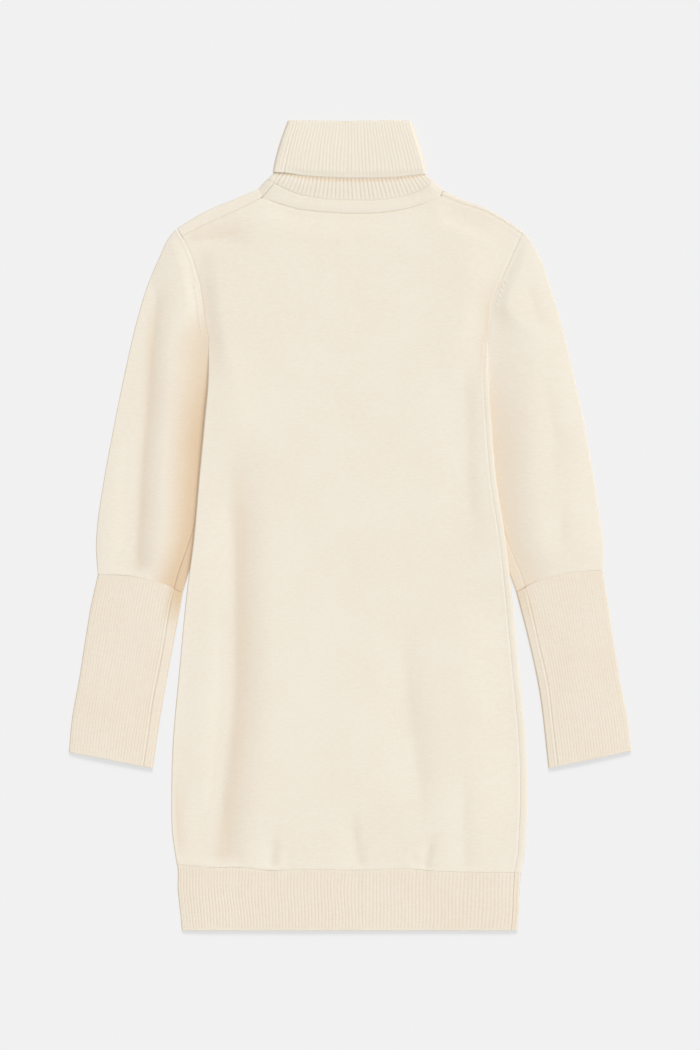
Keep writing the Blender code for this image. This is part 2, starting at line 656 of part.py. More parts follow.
def collar():
    columns = round_columns(COLLAR_FRONT, COLLAR_BACK, COLLAR_SEAM)
    across = np.array([share for share, _ in columns])
    across[0] += CLOSING_SHARE
    across[-1] -= CLOSING_SHARE
    angle = np.array([angle for _, angle in columns])
    face = ((1.0 + np.cos(angle)) / 2)[:, None]
    half = COLLAR_LAYER / 2
    reach = 1.5 * COLLAR_LAYER + RIB_WALL / 2
    crown = COLLAR_TOP_Y - RIB_WALL / 2 - half
    edge = spline(column_of(TURNDOWN_EDGE, 0), column_of(TURNDOWN_EDGE, 1), across)

    def ring_row(y, radius):
        left = at_height(COLLAR_EDGES, 1, y) + reach
        right = at_height(COLLAR_EDGES, 2, y) - reach
        xy = np.stack([left + (right - left) * across, y], axis=-1)
        back = np.full(len(across), COLLAR_LEVEL - radius)
        return xy, back, np.full(len(across), COLLAR_LEVEL + radius)

    rows = []
    upper, _, _ = ring_row(edge - BEHIND_EDGE, half)
    clear = RIB_WALL / 2 + RIB_TURN
    for up in (0.0, 0.3, 0.6, 0.85):
        start = face * band_line(True, across, clear) + (1.0 - face) * band_line(False, across, clear)
        start = start + np.array([0.0, SEAM_GAP / 2])
        xy = start + (upper - start) * up
        back = RIB_BACK + neck_rise(xy[:, 0], xy[:, 1])
        ahead = heading(lambda share: band_line(True, share, clear), across)
        direction = ahead * (1.0 - up) + np.array([1.0, 0.0]) * up
        rows.append(round_tube(xy, angle, back, back + 2 * RIB_TURN, direction))
    for share in (0.0, 0.35, 0.7, 1.0):
        xy, back, front = ring_row(edge - BEHIND_EDGE + (crown - edge + BEHIND_EDGE) * share, half)
        rows.append(round_tube(xy, angle, back, front, np.array([1.0, 0.0])))
    for step in range(1, TURN_STEPS + 1):
        at = np.pi * step / TURN_STEPS
        y = np.full(len(across), crown + half * np.sin(at))
        xy, back, front = ring_row(y, COLLAR_LAYER - half * np.cos(at))
        rows.append(round_tube(xy, angle, back, front, np.array([1.0, 0.0])))
    for share in (0.7, 0.35, 0.0):
        xy, back, front = ring_row(edge + (crown - edge) * share, 1.5 * COLLAR_LAYER)
        rows.append(round_tube(xy, angle, back, front, np.array([1.0, 0.0])))
    return sheet("collar", np.array(rows), RIB_WALL, RIB)


def sheet(name, points, wall, material):
    # A face wherever four neighbours exist, then the wall, half to each side
    shape = bmesh.new()
    corners = {}
    for (row, column), there in np.ndenumerate(np.isfinite(points[..., 0])):
        if there:
            corners[row, column] = shape.verts.new(points[row, column])
    for row, column in corners:
        around = [(row, column), (row, column + 1), (row + 1, column + 1), (row + 1, column)]
        if all(corner in corners for corner in around):
            shape.faces.new([corners[corner] for corner in around])
    mesh = bpy.data.meshes.new(name)
    shape.to_mesh(mesh)
    shape.free()
    mesh.materials.append(material)
    cloth = bpy.data.objects.new(name, mesh)
    DRESS.objects.link(cloth)
    walls = cloth.modifiers.new("wall", "SOLIDIFY")
    walls.thickness = wall
    walls.offset = 0.0
    walls.use_even_offset = True
    return cloth


def knit(name, colour):
    material = bpy.data.materials.new(name)
    material.use_nodes = True
    surface = material.node_tree.nodes["Principled BSDF"]
    surface.inputs["Base Color"].default_value = colour
    surface.inputs["Roughness"].default_value = 0.95
    surface.inputs["Metallic"].default_value = 0.0
    material.diffuse_color = colour
    return material


for old in list(bpy.data.objects):
    bpy.data.objects.remove(old)
DRESS = bpy.data.collections.new("sweater_dress")
bpy.context.scene.collection.children.link(DRESS)
PLAIN = knit("plain_knit", PLAIN_COLOUR)
RIB = knit("rib_knit", RIB_COLOUR)

back_panel()
front_panel()
back_hem_rib()
front_hem_rib()
sleeve("sleeve_left", -1, LEFT_OUTER, LEFT_INNER, LEFT_SLEEVE_FOLDS)
sleeve("sleeve_right", 1, RIGHT_OUTER, RIGHT_INNER, RIGHT_SLEEVE_FOLDS)
cuff("cuff_left", -1, LEFT_CUFF_OUTER, LEFT_CUFF_INNER)
cuff("cuff_right", 1, RIGHT_CUFF_OUTER, RIGHT_CUFF_INNER)
neck_band()
collar()
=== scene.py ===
# Sweater dress in ecru fine knit, laid flat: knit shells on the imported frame, in metres.
import bpy, math
import numpy as np
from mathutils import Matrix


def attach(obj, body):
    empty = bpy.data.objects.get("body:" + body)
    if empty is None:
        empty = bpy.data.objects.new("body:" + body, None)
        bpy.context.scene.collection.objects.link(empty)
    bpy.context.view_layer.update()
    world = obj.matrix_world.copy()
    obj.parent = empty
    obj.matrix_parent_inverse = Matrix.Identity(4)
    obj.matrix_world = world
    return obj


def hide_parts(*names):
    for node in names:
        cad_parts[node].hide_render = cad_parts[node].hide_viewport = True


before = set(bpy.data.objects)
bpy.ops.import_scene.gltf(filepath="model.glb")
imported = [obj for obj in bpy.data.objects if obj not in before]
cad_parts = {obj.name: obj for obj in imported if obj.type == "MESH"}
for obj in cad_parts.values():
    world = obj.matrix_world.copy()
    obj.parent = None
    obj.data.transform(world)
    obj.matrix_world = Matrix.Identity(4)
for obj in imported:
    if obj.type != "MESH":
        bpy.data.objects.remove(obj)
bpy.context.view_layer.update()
bpy.ops.object.select_all(action="DESELECT")
print("frame loaded:", len(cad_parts), "nodes")


# ---- small tools for smooth lines and soft steps
def softStep(low, high, value):
    part = np.clip((value - low) / (high - low), 0.0, 1.0)
    return part * part * (3.0 - 2.0 * part)


def bump(value, middle, width):
    return np.exp(-(((value - middle) / width) ** 2))


def spline(knots, values, at):
    knots, values, at = (np.asarray(item, float) for item in (knots, values, at))
    slopes = np.gradient(values, knots, axis=0)
    index = np.clip(np.searchsorted(knots, at, side="right") - 1, 0, len(knots) - 2)
    width = knots[index + 1] - knots[index]
    part = np.clip((at - knots[index]) / width, 0.0, 1.0)
    if values.ndim == 2:
        width, part = width[..., None], part[..., None]
    square, cube = part**2, part**3
    low = (2 * cube - 3 * square + 1) * values[index] + (cube - 2 * square + part) * width * slopes[index]
    high = (3 * square - 2 * cube) * values[index + 1] + (cube - square) * width * slopes[index + 1]
    return low + high


def curve(points, share):
    points = np.asarray(points, float)
    lengths = np.linalg.norm(np.diff(points, axis=0), axis=1)
    knots = np.concatenate(([0.0], np.cumsum(lengths)))
    return spline(knots, points, np.asarray(share, float) * knots[-1])


def moved(points, distance):  # the same course, moved to the left of its direction
    points = np.asarray(points, float)
    along = np.gradient(points, axis=0)
    along /= np.linalg.norm(along, axis=1)[:, None]
    return points + distance * np.stack([-along[:, 1], along[:, 0]], axis=1)


def heading(line, share):
    ahead = line(np.clip(share + 0.01, 0, 1)) - line(np.clip(share - 0.01, 0, 1))
    return ahead / np.linalg.norm(ahead, axis=-1)[..., None]


def columnOf(table, column):
    return [row[column] for row in table]


def readAt(table, at, column=1):  # one column of a table, read smoothly at values of its first
    return spline(columnOf(table, 0), columnOf(table, column), at)


def shares(count, near=(), start=0.0, end=1.0):  # even shares, with more of them near both ends
    near = np.array(near)
    inner = np.linspace(0.0, 1.0, count)
    if len(near):
        inner = inner[(inner > near.max() * 1.3) & (inner < 1.0 - near.max() * 1.3)]
    both = np.unique(np.concatenate(([0.0, 1.0], inner, near, 1.0 - near)))
    return start + (end - start) * both


def nearestOn(path, x, y):  # signed distance to a course, more than 0 on its left, and how far along it
    nearest = np.full(np.shape(x), np.inf)
    along = np.zeros(np.shape(x))
    side = np.ones(np.shape(x))
    for step, (first, last) in enumerate(zip(path[:-1], path[1:])):
        run = last - first
        part = np.clip(((x - first[0]) * run[0] + (y - first[1]) * run[1]) / (run @ run), 0.0, 1.0)
        away = np.hypot(x - first[0] - part * run[0], y - first[1] - part * run[1])
        closer = away < nearest
        along = np.where(closer, (step + part) / (len(path) - 1), along)
        turned = run[0] * (y - first[1]) - run[1] * (x - first[0])
        side = np.where(closer, np.where(turned > 0, 1.0, -1.0), side)
        nearest = np.minimum(nearest, away)
    return nearest * side, along


foldSteps = 22  # points along the course of a fold
foldRound = 0.14  # how rounded the bottom of a fold is


def folds(table, x, y, gentle=1.0, shift=0.0):
    # a row is the depth, the steep and gentle widths beside the course, the fades at its ends, the course
    total = np.zeros(np.shape(x))
    for depth, (steep, wide), fades, *course in table:
        away, along = nearestOn(curve(course, np.linspace(0, 1, foldSteps)), x, y)
        away = away - shift * steep
        ends = softStep(0.0, fades[0], along) * softStep(1.0, 1.0 - fades[1], along)
        part = np.hypot(away / np.where(away > 0, steep, wide * gentle), foldRound) - foldRound
        total += depth * ends * np.clip(1.0 - part, 0.0, 1.0) ** 2
    return total


def foldShade(table, x, y, shadeSettings):  # painted shade: folds darken the cloth's colour most on their steep side, the side turned from the light
    strength, gentle, shift = shadeSettings
    return strength * folds(table, x, y, gentle, shift)


def seamLine(away, rise, ridgeAt, ridgeWidth, dipWidth=0.0008):  # a low ridge beside a seam, a dip on it
    return rise * bump(away, ridgeAt, ridgeWidth) - 0.0002 * bump(away, 0.0, dipWidth)


def ripple(x, y, size, seed):  # slow unevenness of cloth that was smoothed by hand
    total = 0.0
    for step in range(5):
        angle = seed + 1.9 * step
        reach = size * (1.0 + 0.37 * step)
        total = total + np.sin((x * math.cos(angle) + y * math.sin(angle)) * 6.28 / reach + 2.1 * seed + step)
    return total / 5.0


# ---- camera, floor and light
studio = {
    "cameraHeight": 3.0,
    "seenLength": 1.2495,
    "cameraAt": (0.0, 0.0006),
    "floorSize": 9.0,
    "floorColour": 0.12,
    "floorGlow": 0.668,
    "worldStrength": 0.485,
    "suns": {  # strength, direction it comes from, angle across, what it lights
        "key": (1.60, (0.80, 0.26, 0.65), 36.0, "dress"),
        "top": (0.60, (0.10, 0.86, 0.62), 30.0, "dress"),
        "fill": (0.50, (-0.25, -0.78, 0.60), 60.0, "dress"),
        "under": (6.2, (0.0, 0.76, 0.65), 26.0, "floor"),
    },
}


def makeFloor():
    bpy.ops.mesh.primitive_plane_add(size=studio["floorSize"], location=(0, 0, -0.0004))
    floor = bpy.context.object
    floor.name = "floor"
    paint = bpy.data.materials.new("pale_floor")
    paint.use_nodes = True
    surface = paint.node_tree.nodes["Principled BSDF"]
    surface.inputs["Base Color"].default_value = (*[studio["floorColour"]] * 3, 1)
    surface.inputs["Roughness"].default_value = 0.9
    surface.inputs["Specular IOR Level"].default_value = 0.0
    surface.inputs["Emission Color"].default_value = (1, 1, 1, 1)
    surface.inputs["Emission Strength"].default_value = studio["floorGlow"]
    floor.data.materials.append(paint)
    return floor


def addSun(name, strength, comesFrom, angle, linked):
    bpy.ops.object.light_add(type="SUN", location=(0, 0, 2))
    light = bpy.context.object
    light.name = name + "_light"
    light.data.energy = strength
    light.data.angle = math.radians(angle)
    toLight = np.array(comesFrom, float)
    toLight /= np.linalg.norm(toLight)
    light.rotation_euler = (math.acos(toLight[2]), 0, math.atan2(toLight[1], toLight[0]) + math.pi / 2)
    light.light_linking.receiver_collection = linked


def makeStudio():
    scene = bpy.context.scene
    bpy.ops.object.camera_add(location=(*studio["cameraAt"], studio["cameraHeight"]), rotation=(0, 0, 0))
    camera = bpy.context.object
    camera.name = "camera"
    camera.data.lens = 36.0 * studio["cameraHeight"] / studio["seenLength"]
    camera.data.sensor_width = 36.0
    scene.camera = camera
    floor = makeFloor()
    linked = {}
    for reach, state in (("dress", "EXCLUDE"), ("floor", "INCLUDE")):
        linked[reach] = bpy.data.collections.new(reach + "_light")
        linked[reach].objects.link(floor)
        linked[reach].collection_objects[0].light_linking.link_state = state
    for name, (strength, comesFrom, angle, reach) in studio["suns"].items():
        addSun(name, strength, comesFrom, angle, linked[reach])
    world = bpy.data.worlds.new("studio")
    scene.world = world
    world.use_nodes = True
    world.node_tree.nodes["Background"].inputs["Color"].default_value = (1, 1, 1, 1)
    world.node_tree.nodes["Background"].inputs["Strength"].default_value = studio["worldStrength"]
    scene.view_settings.view_transform = "Standard"


makeStudio()
print("camera, floor and lights made")


# ---- knit materials
class Value:  # one socket, which sums are written with
    def __init__(self, maker, socket):
        self.maker, self.socket = maker, socket

    def math(self, operation, first, second=0.0):
        return self.maker.add("Math", {"operation": operation}, {0: first, 1: second})

    def __add__(self, other):
        return self.math("ADD", self, other)

    def __radd__(self, other):
        return self.math("ADD", other, self)

    def __sub__(self, other):
        return self.math("SUBTRACT", self, other)

    def __rsub__(self, other):
        return self.math("SUBTRACT", other, self)

    def __mul__(self, other):
        return self.math("MULTIPLY", self, other)

    def __rmul__(self, other):
        return self.math("MULTIPLY", other, self)

    def __pow__(self, other):
        return self.math("POWER", self, other)

    def __abs__(self):
        return self.math("ABSOLUTE", self)

    def fraction(self):
        return self.math("FRACT", self)

    def within(self):
        return self.math("MINIMUM", self.math("MAXIMUM", self, 0.0), 1.0)


class Maker:  # adds nodes to one material
    def __init__(self, material):
        material.use_nodes = True
        self.tree = material.node_tree
        self.surface = self.tree.nodes["Principled BSDF"]

    def fill(self, node, sockets):
        for key, value in sockets.items():
            if isinstance(value, Value):
                self.tree.links.new(value.socket, node.inputs[key])
            else:
                node.inputs[key].default_value = value

    def add(self, kind, settings, sockets, output=0):
        node = self.tree.nodes.new("ShaderNode" + kind)
        for key, value in settings.items():
            setattr(node, key, value)
        self.fill(node, sockets)
        return Value(self, node.outputs[output])


knitLook = {
    # colour is the knit's own colour; shade is the painted shade colour that creases, grooves and turned
    # edges are mixed towards
    "plain": {"colour": (0.890, 0.832, 0.722), "shade": (0.76, 0.58, 0.39), "relief": 0.35},
    "rib": {"colour": (0.882, 0.812, 0.694), "shade": (0.74, 0.55, 0.35), "relief": 0.40},
    "wale": 0.00155,  # width of one column of stitches
    "course": 0.00125,  # height of one row of stitches
    "stitchDepth": 0.00018,
    "legSlope": 0.55,
    "cloudScale": 11.0,
    "grainScale": 300.0,
    "grainStretch": (0.55, 1.5, 1.0),
    "fuzzScale": 2400.0,
    "fuzzHeight": 0.5,
    "cloudTone": 0.20,
    "grainTone": 0.34,
    # painted shade between the legs of each stitch
    "stitchShade": 0.10,
    "paleTone": 0.12,  # taken off, so that flat cloth is about its own colour
    "edgeShade": 0.40,  # how much painted shade, warm and darker, a turned edge gets where it turns from the light
    "turned": (0.03, 0.40),  # how far over it has turned where the painted edge shade starts, and where it is whole
    "roughness": 0.92,
    "specular": 0.12,
    "sheen": 0.15,
    "sheenRoughness": 0.6,
    "sheenTint": (1.0, 0.96, 0.9, 1),
}


def knitMaterial(name, look):
    material = bpy.data.materials.new(name)
    make = Maker(material)
    cloth = make.add("UVMap", {"uv_map": "cloth"}, {})
    across = make.add("SeparateXYZ", {}, {0: cloth}, 0) * (1.0 / knitLook["wale"])
    along = make.add("SeparateXYZ", {}, {0: cloth}, 1) * (1.0 / knitLook["course"])
    place = make.add("TexCoord", {}, {}, 3)

    def noise(scale, detail):
        return make.add("TexNoise", {}, {"Vector": place, "Scale": scale, "Detail": detail, "Roughness": 0.6})

    # each stitch is a V: two legs that lean towards the middle of its column
    fromMiddle = abs(across.fraction() - 0.5) * 2.0
    legs = abs((along + fromMiddle * knitLook["legSlope"]).fraction() - 0.5) * 2.0
    stitch = 0.7 - (fromMiddle**2.5) * 0.7 - (legs**2.0) * 0.35
    height = stitch + noise(knitLook["fuzzScale"], 2.0) * knitLook["fuzzHeight"]
    depth = {"Strength": look["relief"], "Distance": knitLook["stitchDepth"], "Height": height}
    relief = make.add("Bump", {}, depth)
    # painted shade carried on each piece's points: how far the colour is mixed towards the shade colour
    paintedShade = make.add("Attribute", {"attribute_name": "paintedShade"}, {}, 2)
    cloud = noise(knitLook["cloudScale"], 3.0)
    place = make.add("Mapping", {}, {"Vector": place, "Scale": knitLook["grainStretch"]})
    grain = noise(knitLook["grainScale"], 2.0)
    # tone mixes the own colour towards the painted shade colour: random cloud and grain, painted shade
    # between stitch legs, and the painted shade on the points
    tone = cloud * knitLook["cloudTone"] + grain * knitLook["grainTone"] - stitch * knitLook["stitchShade"]
    tone = (tone - knitLook["paleTone"] + paintedShade).within()
    colours = {0: tone, 6: (*look["colour"], 1), 7: (*look["shade"], 1)}
    mix = make.add("Mix", {"data_type": "RGBA"}, colours, 2)
    make.fill(make.surface, {
        "Base Color": mix,
        "Normal": relief,
        "Roughness": knitLook["roughness"],
        "Specular IOR Level": knitLook["specular"],
        "Sheen Weight": knitLook["sheen"],
        "Sheen Roughness": knitLook["sheenRoughness"],
        "Sheen Tint": knitLook["sheenTint"],
    })
    return material


plainKnit = knitMaterial("plain_knit", knitLook["plain"])
ribKnit = knitMaterial("rib_knit", knitLook["rib"])
print("knit materials made")


# ---- from a grid of points to a knit shell
def shell(name, points, wall, material, node, paintedShade=0.0, even=True,
          edgeShade=knitLook["edgeShade"]):
    rows, cols = points.shape[:2]
    there = np.isfinite(points[..., 0])
    number = np.full((rows, cols), -1)
    number[there] = np.arange(there.sum())
    quad = there[:-1, :-1] & there[:-1, 1:] & there[1:, 1:] & there[1:, :-1]
    faces = np.stack([number[:-1, :-1], number[:-1, 1:], number[1:, 1:], number[1:, :-1]], axis=-1)[quad]
    mesh = bpy.data.meshes.new(name)
    mesh.from_pydata(points[there].tolist(), [], faces.tolist())
    solid = np.where(there[..., None], points, 0.0)
    stepAcross = np.linalg.norm(np.diff(solid, axis=1), axis=-1) * (there[:, 1:] & there[:, :-1])
    stepAlong = np.linalg.norm(np.diff(solid, axis=0), axis=-1) * (there[1:] & there[:-1])
    middle = rows // 3
    across = np.concatenate([[0.0], np.cumsum(stepAcross[middle])])
    along = np.concatenate([[0.0], np.cumsum(np.median(stepAlong, axis=1))])
    uv = np.stack(np.broadcast_arrays(across[None, :], along[:, None]), axis=-1)[there]
    layer = mesh.uv_layers.new(name="cloth")
    corner = np.empty(len(mesh.loops), dtype=np.int32)
    mesh.loops.foreach_get("vertex_index", corner)
    layer.data.foreach_set("uv", uv[corner].astype(np.float32).ravel())
    normals = np.empty(3 * len(mesh.vertices))
    mesh.vertex_normals.foreach_get("vector", normals)
    # painted shade on turned edges, strongest where the cloth faces sideways
    depth = edgeShade * softStep(*knitLook["turned"], 1.0 - np.abs(normals[2::3]))
    # plus the piece's own painted shade, from creases, grooves, seams and slopes
    depth = depth + np.broadcast_to(paintedShade, there.shape)[there]
    shadeLayer = mesh.attributes.new("paintedShade", "FLOAT", "POINT")
    shadeLayer.data.foreach_set("value", depth.astype(np.float32))
    mesh.polygons.foreach_set("use_smooth", np.ones(len(mesh.polygons), dtype=bool))
    mesh.materials.append(material)
    piece = bpy.data.objects.new(name, mesh)
    bpy.context.scene.collection.objects.link(piece)
    walls = piece.modifiers.new("wall", "SOLIDIFY")
    walls.thickness = wall
    walls.offset = 0.0
    walls.use_even_offset = even
    bpy.context.view_layer.objects.active = piece
    piece.select_set(True)
    bpy.ops.object.modifier_apply(modifier="wall")
    piece.select_set(False)
    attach(piece, "root")
    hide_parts(node)
    return piece


turnSteps = 10


def turn(start):
    return [start + math.pi * step / turnSteps for step in range(1, turnSteps)]


def roundTube(xy, angle, back, front, direction, groove=0.0):
    # angle 0 is the face, pi the underside; groove sinks the cloth towards the tube's middle
    half = (front - back) / 2
    z = back + half * (1.0 + np.cos(angle)) + groove * np.cos(angle)
    out = ((half + groove) * np.sin(angle))[..., None] * direction
    return np.concatenate([xy + out, z[..., None]], axis=-1)


# ---- the body: two panels that meet along the sides and shoulders
body = {
    "wall": 0.0013,
    "backLevel": 0.0007,
    "turn": 0.00085,
    "puff": 0.0028,
    "sideLift": 0.0027,  # the edges lie on the sleeves between armpit and cuff
    "sideRound": 0.0002,
    "armpitY": 0.219,
    "edges": (  # height, left edge, right edge
        (-0.48125, -0.2000, 0.1990),
        (-0.4600, -0.2020, 0.2010),
        (-0.4310, -0.2050, 0.2020),
        (-0.4080, -0.2050, 0.2040),
        (-0.3930, -0.2080, 0.2070),
        (-0.3650, -0.2120, 0.2090),
        (-0.3270, -0.2130, 0.2105),
        (-0.2600, -0.2110, 0.2090),
        (-0.1740, -0.2035, 0.2010),
        (-0.0840, -0.1950, 0.1925),
        (-0.0170, -0.1865, 0.1850),
        (0.0540, -0.1800, 0.1740),
        (0.1250, -0.1730, 0.1680),
        (0.1730, -0.1688, 0.1650),
        (0.2190, -0.1690, 0.1640),
    ),
    "hemSeam": ((0.0, -0.4030), (0.10, -0.4065), (0.18, -0.4060), (0.27, -0.4100), (0.35, -0.4085),
                (0.5, -0.4095), (0.66, -0.4080), (0.78, -0.4110), (1.0, -0.4125)),
    "leftArmhole": ((-0.1698, 0.2290), (-0.1722, 0.2400), (-0.1752, 0.2660), (-0.1782, 0.2845),
                    (-0.1823, 0.2990), (-0.1877, 0.3180), (-0.1962, 0.3370)),
    "rightArmhole": ((0.1660, 0.2290), (0.1665, 0.2400), (0.1685, 0.2620), (0.1730, 0.2785),
                     (0.1810, 0.2960), (0.1925, 0.3220), (0.2000, 0.3380)),
    "leftShoulder": ((-0.2055, 0.3535), (-0.1820, 0.3680), (-0.1620, 0.3780), (-0.1400, 0.3870),
                     (-0.1090, 0.4000)),
    "rightShoulder": ((0.1110, 0.3985), (0.1360, 0.3870), (0.1595, 0.3780), (0.1785, 0.3680),
                      (0.2060, 0.3495)),
    "leftFlap": ((0.0, 0.0110), (0.5, 0.0135), (1.0, 0.0105)),
    "rightFlap": ((0.0, 0.0065), (0.5, 0.0036), (1.0, 0.0032)),
    "frontNeck": ((-0.0935, 0.3856), (-0.0800, 0.3812), (-0.0660, 0.3770), (-0.0480, 0.3742),
                  (-0.0300, 0.3726), (0.0033, 0.3710), (0.0500, 0.3735), (0.0850, 0.3820)),
    "backNeck": ((-0.0800, 0.3870), (-0.0400, 0.3790), (0.0000, 0.3770), (0.0400, 0.3790),
                 (0.0800, 0.3870)),
    "neckShares": (0.23, 0.77),
    "seamGap": 0.00012,
    "width": 0.38,  # about the width of the body, for distances from its sides
    "chestWidth": 0.34,
    "yokeHeight": 0.150,  # about the height from the armpits to the top seams
    "skirtHeight": 0.63,  # and from the hem seam to the armpits
    "armholeShade": 0.22,
    "seamShade": 0.25,
    "foldShade": (70.0, 0.20, 0.28),  # painted fold shade: strength, gentle side, shift to the steep side
    "folds": (  # depth, steep and gentle widths beside the course, fades at its ends, course
        (0.0043, (0.0430, 0.0700), (0.35, 0.03), (-0.1430, 0.1500), (-0.1455, 0.0300), (-0.1440, -0.0890),
         (-0.1450, -0.2080), (-0.1560, -0.3150), (-0.1680, -0.4040)),
        (0.0040, (0.0170, 0.0120), (0.40, 0.25), (-0.2110, -0.2900), (-0.2110, -0.3500), (-0.2060, -0.4000)),
        (0.0027, (0.0320, 0.0130), (0.20, 0.45), (-0.1990, 0.3295), (-0.1600, 0.3335), (-0.1080, 0.3405)),
        (0.0010, (0.0260, 0.0110), (0.30, 0.40), (0.1000, 0.3690), (0.1380, 0.3560), (0.1740, 0.3420)),
        (0.0010, (0.0180, 0.0500), (0.35, 0.35), (0.1320, 0.2300), (0.1390, 0.1200), (0.1420, 0.0300),
         (0.1560, -0.0400)),
        (0.0013, (0.0110, 0.0200), (0.60, 0.10), (-0.0880, -0.3600), (-0.0950, -0.4070)),
        (0.0005, (0.0070, 0.0110), (0.60, 0.10), (-0.0700, -0.3800), (-0.0740, -0.4070)),
        (0.0011, (0.0130, 0.0260), (0.60, 0.08), (-0.0030, -0.3200), (0.0110, -0.4080)),
        (0.0014, (0.0300, 0.0500), (0.45, 0.30), (0.0600, -0.0800), (0.0660, -0.2080), (0.0760, -0.2800),
         (0.0860, -0.3800)),
        (0.0015, (0.0100, 0.0160), (0.55, 0.10), (0.0985, -0.3620), (0.0880, -0.4090)),
        (0.0008, (0.0200, 0.0240), (0.50, 0.05), (0.1330, -0.2750), (0.1350, -0.4090)),
        (0.0007, (0.0060, 0.0090), (0.60, 0.14), (0.0755, -0.3820), (0.0785, -0.4080)),
        (0.0005, (0.0060, 0.0100), (0.60, 0.14), (-0.1300, -0.3800), (-0.1340, -0.4060)),
    ),
    "backFolds": (  # small lifts of the back off the table
        (0.0010, (0.0110, 0.0170), (0.25, 0.15), (0.1200, 0.1800), (0.1280, 0.0200), (0.1150, -0.1600),
         (0.1320, -0.3800)),
        (0.0008, (0.0140, 0.0080), (0.30, 0.10), (-0.0700, -0.0500), (-0.0820, -0.2300), (-0.0760, -0.4000)),
        (0.0007, (0.0090, 0.0120), (0.40, 0.30), (-0.1300, 0.3100), (-0.0600, 0.3300), (0.0300, 0.3180)),
        (0.0009, (0.0060, 0.0090), (0.50, 0.05), (0.0300, -0.3200), (0.0240, -0.4080)),
    ),
}


def edgeRound(y):  # how much thicker the folded side edge is than two flat layers
    raised = softStep(body["armpitY"] + 0.002, body["armpitY"] - 0.030, y) * softStep(-0.140, -0.060, y)
    return body["sideRound"] * raised + 0.0003 * softStep(body["armpitY"], 0.0, y)


def sideAt(height, column, wall, turnRadius):
    inward = (wall / 2 + turnRadius) * (1 if column == 1 else -1)
    return readAt(body["edges"], height, column) + inward


def hemSeamAt(across):
    return readAt(body["hemSeam"], across)


def lowerBody(across, up):
    low = hemSeamAt(across) + body["seamGap"] / 2
    y = low + (body["armpitY"] - low) * up
    radius = body["turn"] + edgeRound(y)
    left, right = sideAt(y, 1, body["wall"], radius), sideAt(y, 2, body["wall"], radius)
    return np.stack([left + (right - left) * across, y], axis=-1)


def shoulderSeam(side, share):
    shoulder, flap = body[side + "Shoulder"], body[side + "Flap"]
    ahead = heading(lambda part: curve(shoulder, part), share)
    down = np.stack([ahead[..., 1], -ahead[..., 0]], axis=-1)
    return curve(shoulder, share) + down * readAt(flap, share)[..., None], down


def armhole(side, last):
    share = 0.0 if side == "left" else 1.0
    return np.vstack([lowerBody(np.array(share), np.array(1.0)), body[side + "Armhole"], last])


def upperBody(across, up, leftTop, neck, rightTop, leftHole, rightHole):
    first, second = body["neckShares"]
    top = np.where(
        (across < first)[..., None],
        leftTop(np.clip(across / first, 0, 1)),
        np.where(
            (across > second)[..., None],
            rightTop(np.clip((across - second) / (1 - second), 0, 1)),
            curve(neck, np.clip((across - first) / (second - first), 0, 1)),
        ),
    )
    bottom = lowerBody(across, np.ones(np.shape(across)))
    left, right = curve(leftHole, up), curve(rightHole, up)
    across, up = across[..., None], up[..., None]
    low = (1 - across) * leftHole[0] + across * rightHole[0]
    high = (1 - across) * leftHole[-1] + across * rightHole[-1]
    return (1 - up) * (bottom - low) + up * (top - high) + (1 - across) * left + across * right


def panelXY(across, up, leftTop, rightTop, neckPoints):
    neck = np.vstack([leftTop(np.array(1.0)), neckPoints, rightTop(np.array(0.0))])
    leftHole = armhole("left", leftTop(np.array(0.0)))
    rightHole = armhole("right", rightTop(np.array(1.0)))
    upper = upperBody(across, np.clip(up - 1, 0, 1), leftTop, neck, rightTop, leftHole, rightHole)
    return np.where((up > 1.0)[..., None], upper, lowerBody(across, np.clip(up, 0, 1)))


def frontXY(across, up):
    def top(side):
        return lambda share: np.add(*[part * scale for part, scale in
                                      zip(shoulderSeam(side, share), (1.0, body["seamGap"]))])
    return panelXY(across, up, top("left"), top("right"), body["frontNeck"])


def backXY(across, up):
    inward = body["wall"] / 2 + body["turn"]
    left = moved(body["leftShoulder"], -inward)
    right = moved(body["rightShoulder"], -inward)
    return panelXY(across, up, lambda part: curve(left, part), lambda part: curve(right, part),
                   body["backNeck"])


def bodyLift(inset, y):
    armpit = body["armpitY"]
    along = softStep(armpit, armpit - 0.065, y) * softStep(-0.120, -0.060, y)
    return body["sideLift"] * along * (1.0 - softStep(0.004, 0.062, inset))


def armholeShadeMask(inset, y):  # where painted shade lies in the valley where body and sleeve meet near the armpit
    return bump(inset, 0.0, 0.0135) * softStep(0.315, 0.262, y) * softStep(0.150, 0.205, y)


